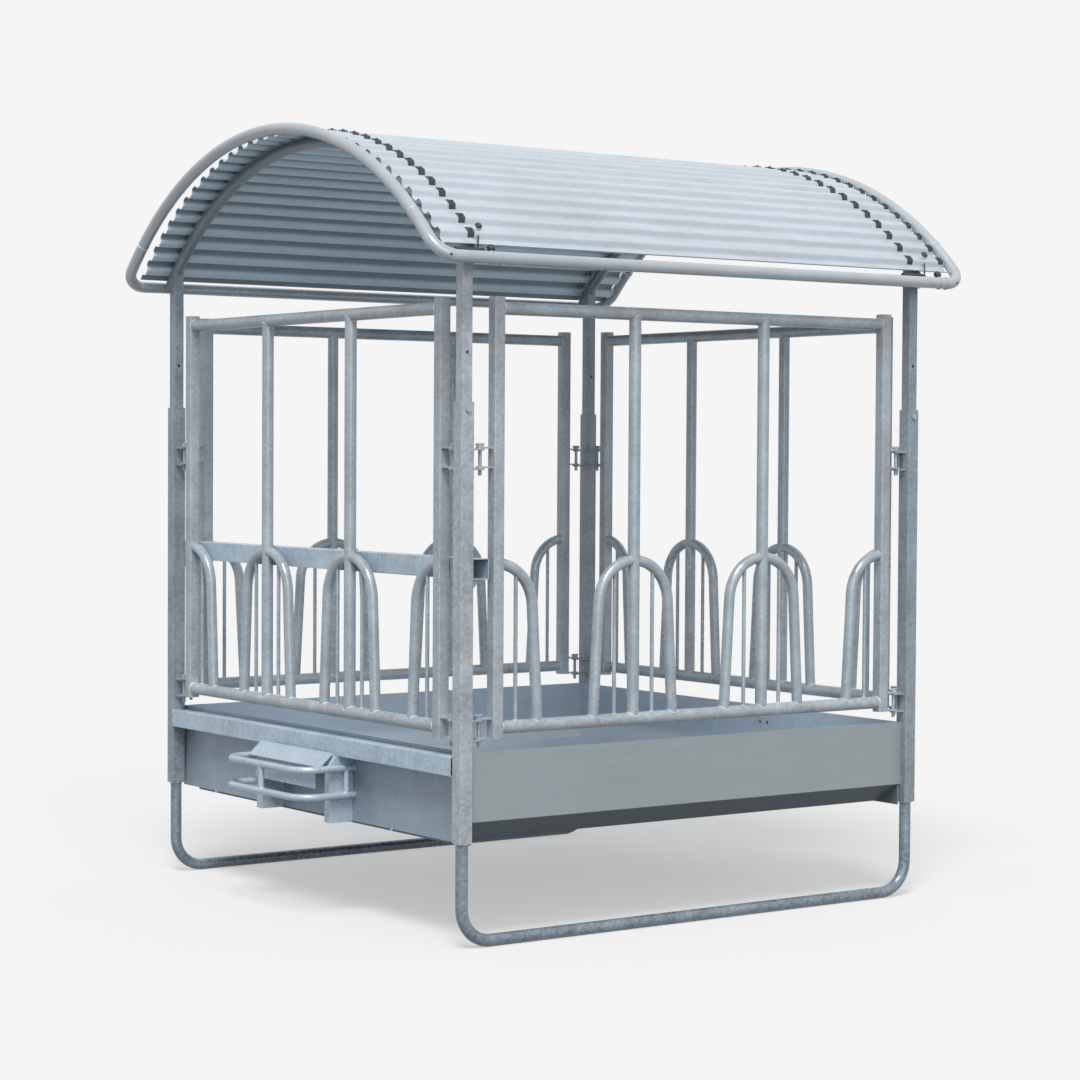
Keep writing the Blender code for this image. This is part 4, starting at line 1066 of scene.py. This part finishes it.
def turned_shape(x, y, profile):
    """Radius and height pairs turned once about the upright line through x and y."""
    profile = np.asarray(profile, float)
    angle = np.linspace(0, 2 * np.pi, PIN_SIDES + 1)
    radius, height = profile[:, :1], profile[:, 1:]
    points = [x + radius * np.cos(angle), y + radius * np.sin(angle), height + 0 * angle]
    return np.stack(points, axis=-1)


def pin_grids(side, height):
    """The turned pin over a pair of lugs, and its cross handle, which is thin at both ends."""
    seat = height + LUG_SPACING + LUG_THICKNESS + TOUCH
    foot = height - TOUCH - LUG_THICKNESS - TIP
    top = seat + COLLAR_HEIGHT
    shank, inner = PIN_DIAMETER / 2, COLLAR_RADIUS - COLLAR_EDGE
    x = side * PIN_PLACE
    profile = [
        (0, foot), (shank - CHAMFER, foot), (shank, foot + CHAMFER), (shank, seat),
        (inner, seat), (COLLAR_RADIUS, seat + COLLAR_EDGE), (COLLAR_RADIUS, top - COLLAR_EDGE),
        (inner, top), (0, top),
    ]
    level = top + HANDLE_LIFT
    reach = np.linspace(-np.pi / 2, np.pi / 2, 9)
    ends = HANDLE_HALF + HANDLE_ROUND * np.sin(reach)
    across = np.concatenate([-ends[::-1], ends])
    size = np.concatenate([np.cos(reach)[::-1], np.cos(reach)])
    size[len(reach) // 2:-(len(reach) // 2)] = 1.0
    outline = circle(HANDLE_BAR, 14)[None] * size[:, None, None]
    line = np.stack([x + across, -POST + 0 * across, level + 0 * across], axis=1)
    return [turned_shape(x, -POST, profile), carried(line, outline, (0, 1, 0))]


for gate, quarters in QUARTERS.items():
    for use, side in (("hinge", -1), ("latch", 1)):
        for level, height in zip(("lower", "upper"), LUG_HEIGHTS):
            name = f"gate_{gate}_{use}_pin_{level}"
            body = "base" if use == "hinge" else f"latch_{gate}_{level}"
            mesh = mesh_from(name, [turned(grid, quarters) for grid in pin_grids(side, height)])
            piece("drawn_" + name, mesh, front_zinc, body, "pin", name)
for corner_name in CORNERS:
    softened("clamp_screw_" + corner_name, bolt_zinc, "base", "fixing", SMALL_EDGE)
print("pins:", 4 * len(QUARTERS))

# %% [markdown]
# The set is plain. Two wide suns light every place alike, so an open floor has one even
# tone. Its colour is chosen from the light that falls on it, so that it shows exactly as the
# background does and no horizon is seen. Half of it glows by itself, which keeps the
# feeder's shadow pale. For light that bounces, the floor is darker, as ground is, so the
# undersides of the feeder stay dark.

# %% Suns
SKY_LIGHT = (0.335, 0.365, 0.385)
falling = np.array(SKY_LIGHT)


def sun(name, toward, strength, width):
    """A sun in the direction toward, with the width of its disc. Returns what it adds to an
    open floor: strength over pi, times the sine of its height."""
    data = bpy.data.lights.new(name, "SUN")
    data.energy = strength
    data.angle = math.radians(width)
    back = unit(np.asarray(toward, float))
    side = unit(np.cross((0, 0, 1), back))
    added(name, data).matrix_world = placed(side, np.cross(back, side), back)
    return strength / math.pi * back[2]


falling = falling + sun("key", (-0.42, -0.50, 1.00), 2.3, 22)
falling = falling + sun("fill", (-0.35, -0.85, 0.40), 0.9, 50)
print("light on the floor:", falling.round(3))

# %% [markdown]
# The floor's own tone is the background's, divided by the light that falls on it. The world
# shows the background where it is seen and a cooler, dimmer sky to everything it lights.

# %% Floor and world
FLOOR_HALF = 60
BACKGROUND = np.array((0.913, 0.913, 0.913))
GROUND = (0.16, 0.17, 0.18)
floor_mesh = bpy.data.meshes.new("floor")
signs = np.array([(-1, -1, 0), (1, -1, 0), (1, 1, 0), (-1, 1, 0)])
floor_mesh.from_pydata((signs * FLOOR_HALF).tolist(), [], [(0, 1, 2, 3)])
floor = added("floor", floor_mesh)
tree = Tree(bpy.data.materials.new("floor"))
pale = tree.node("ShaderNodeBsdfDiffuse", {}, {"Color": rgb(*(BACKGROUND / falling))})
dull = tree.node("ShaderNodeBsdfDiffuse", {}, {"Color": rgb(*GROUND)})
glow = tree.node("ShaderNodeEmission", {}, {"Color": rgb(*BACKGROUND)})
shown = tree.node("ShaderNodeMixShader", {}, {0: 0.5, 1: pale, 2: glow})
floor_look = tree.node("ShaderNodeMixShader", {}, {0: tree.plain_view(), 1: dull, 2: shown})
tree.fill(tree.nodes["Material Output"], {"Surface": floor_look})
floor_mesh.materials.append(tree.owner)

world = bpy.data.worlds.new("studio")
bpy.context.scene.world = world
tree = Tree(world)
shown = tree.node("ShaderNodeBackground", {}, {"Color": rgb(*BACKGROUND)})
sky = tree.node("ShaderNodeBackground", {}, {"Color": rgb(*SKY_LIGHT)})
world_look = tree.node("ShaderNodeMixShader", {}, {0: tree.plain_view(), 1: sky, 2: shown})
tree.fill(tree.nodes["World Output"], {"Surface": world_look})
bpy.context.scene.view_settings.view_transform = "Standard"
print("floor colour:", (BACKGROUND / falling).round(3))
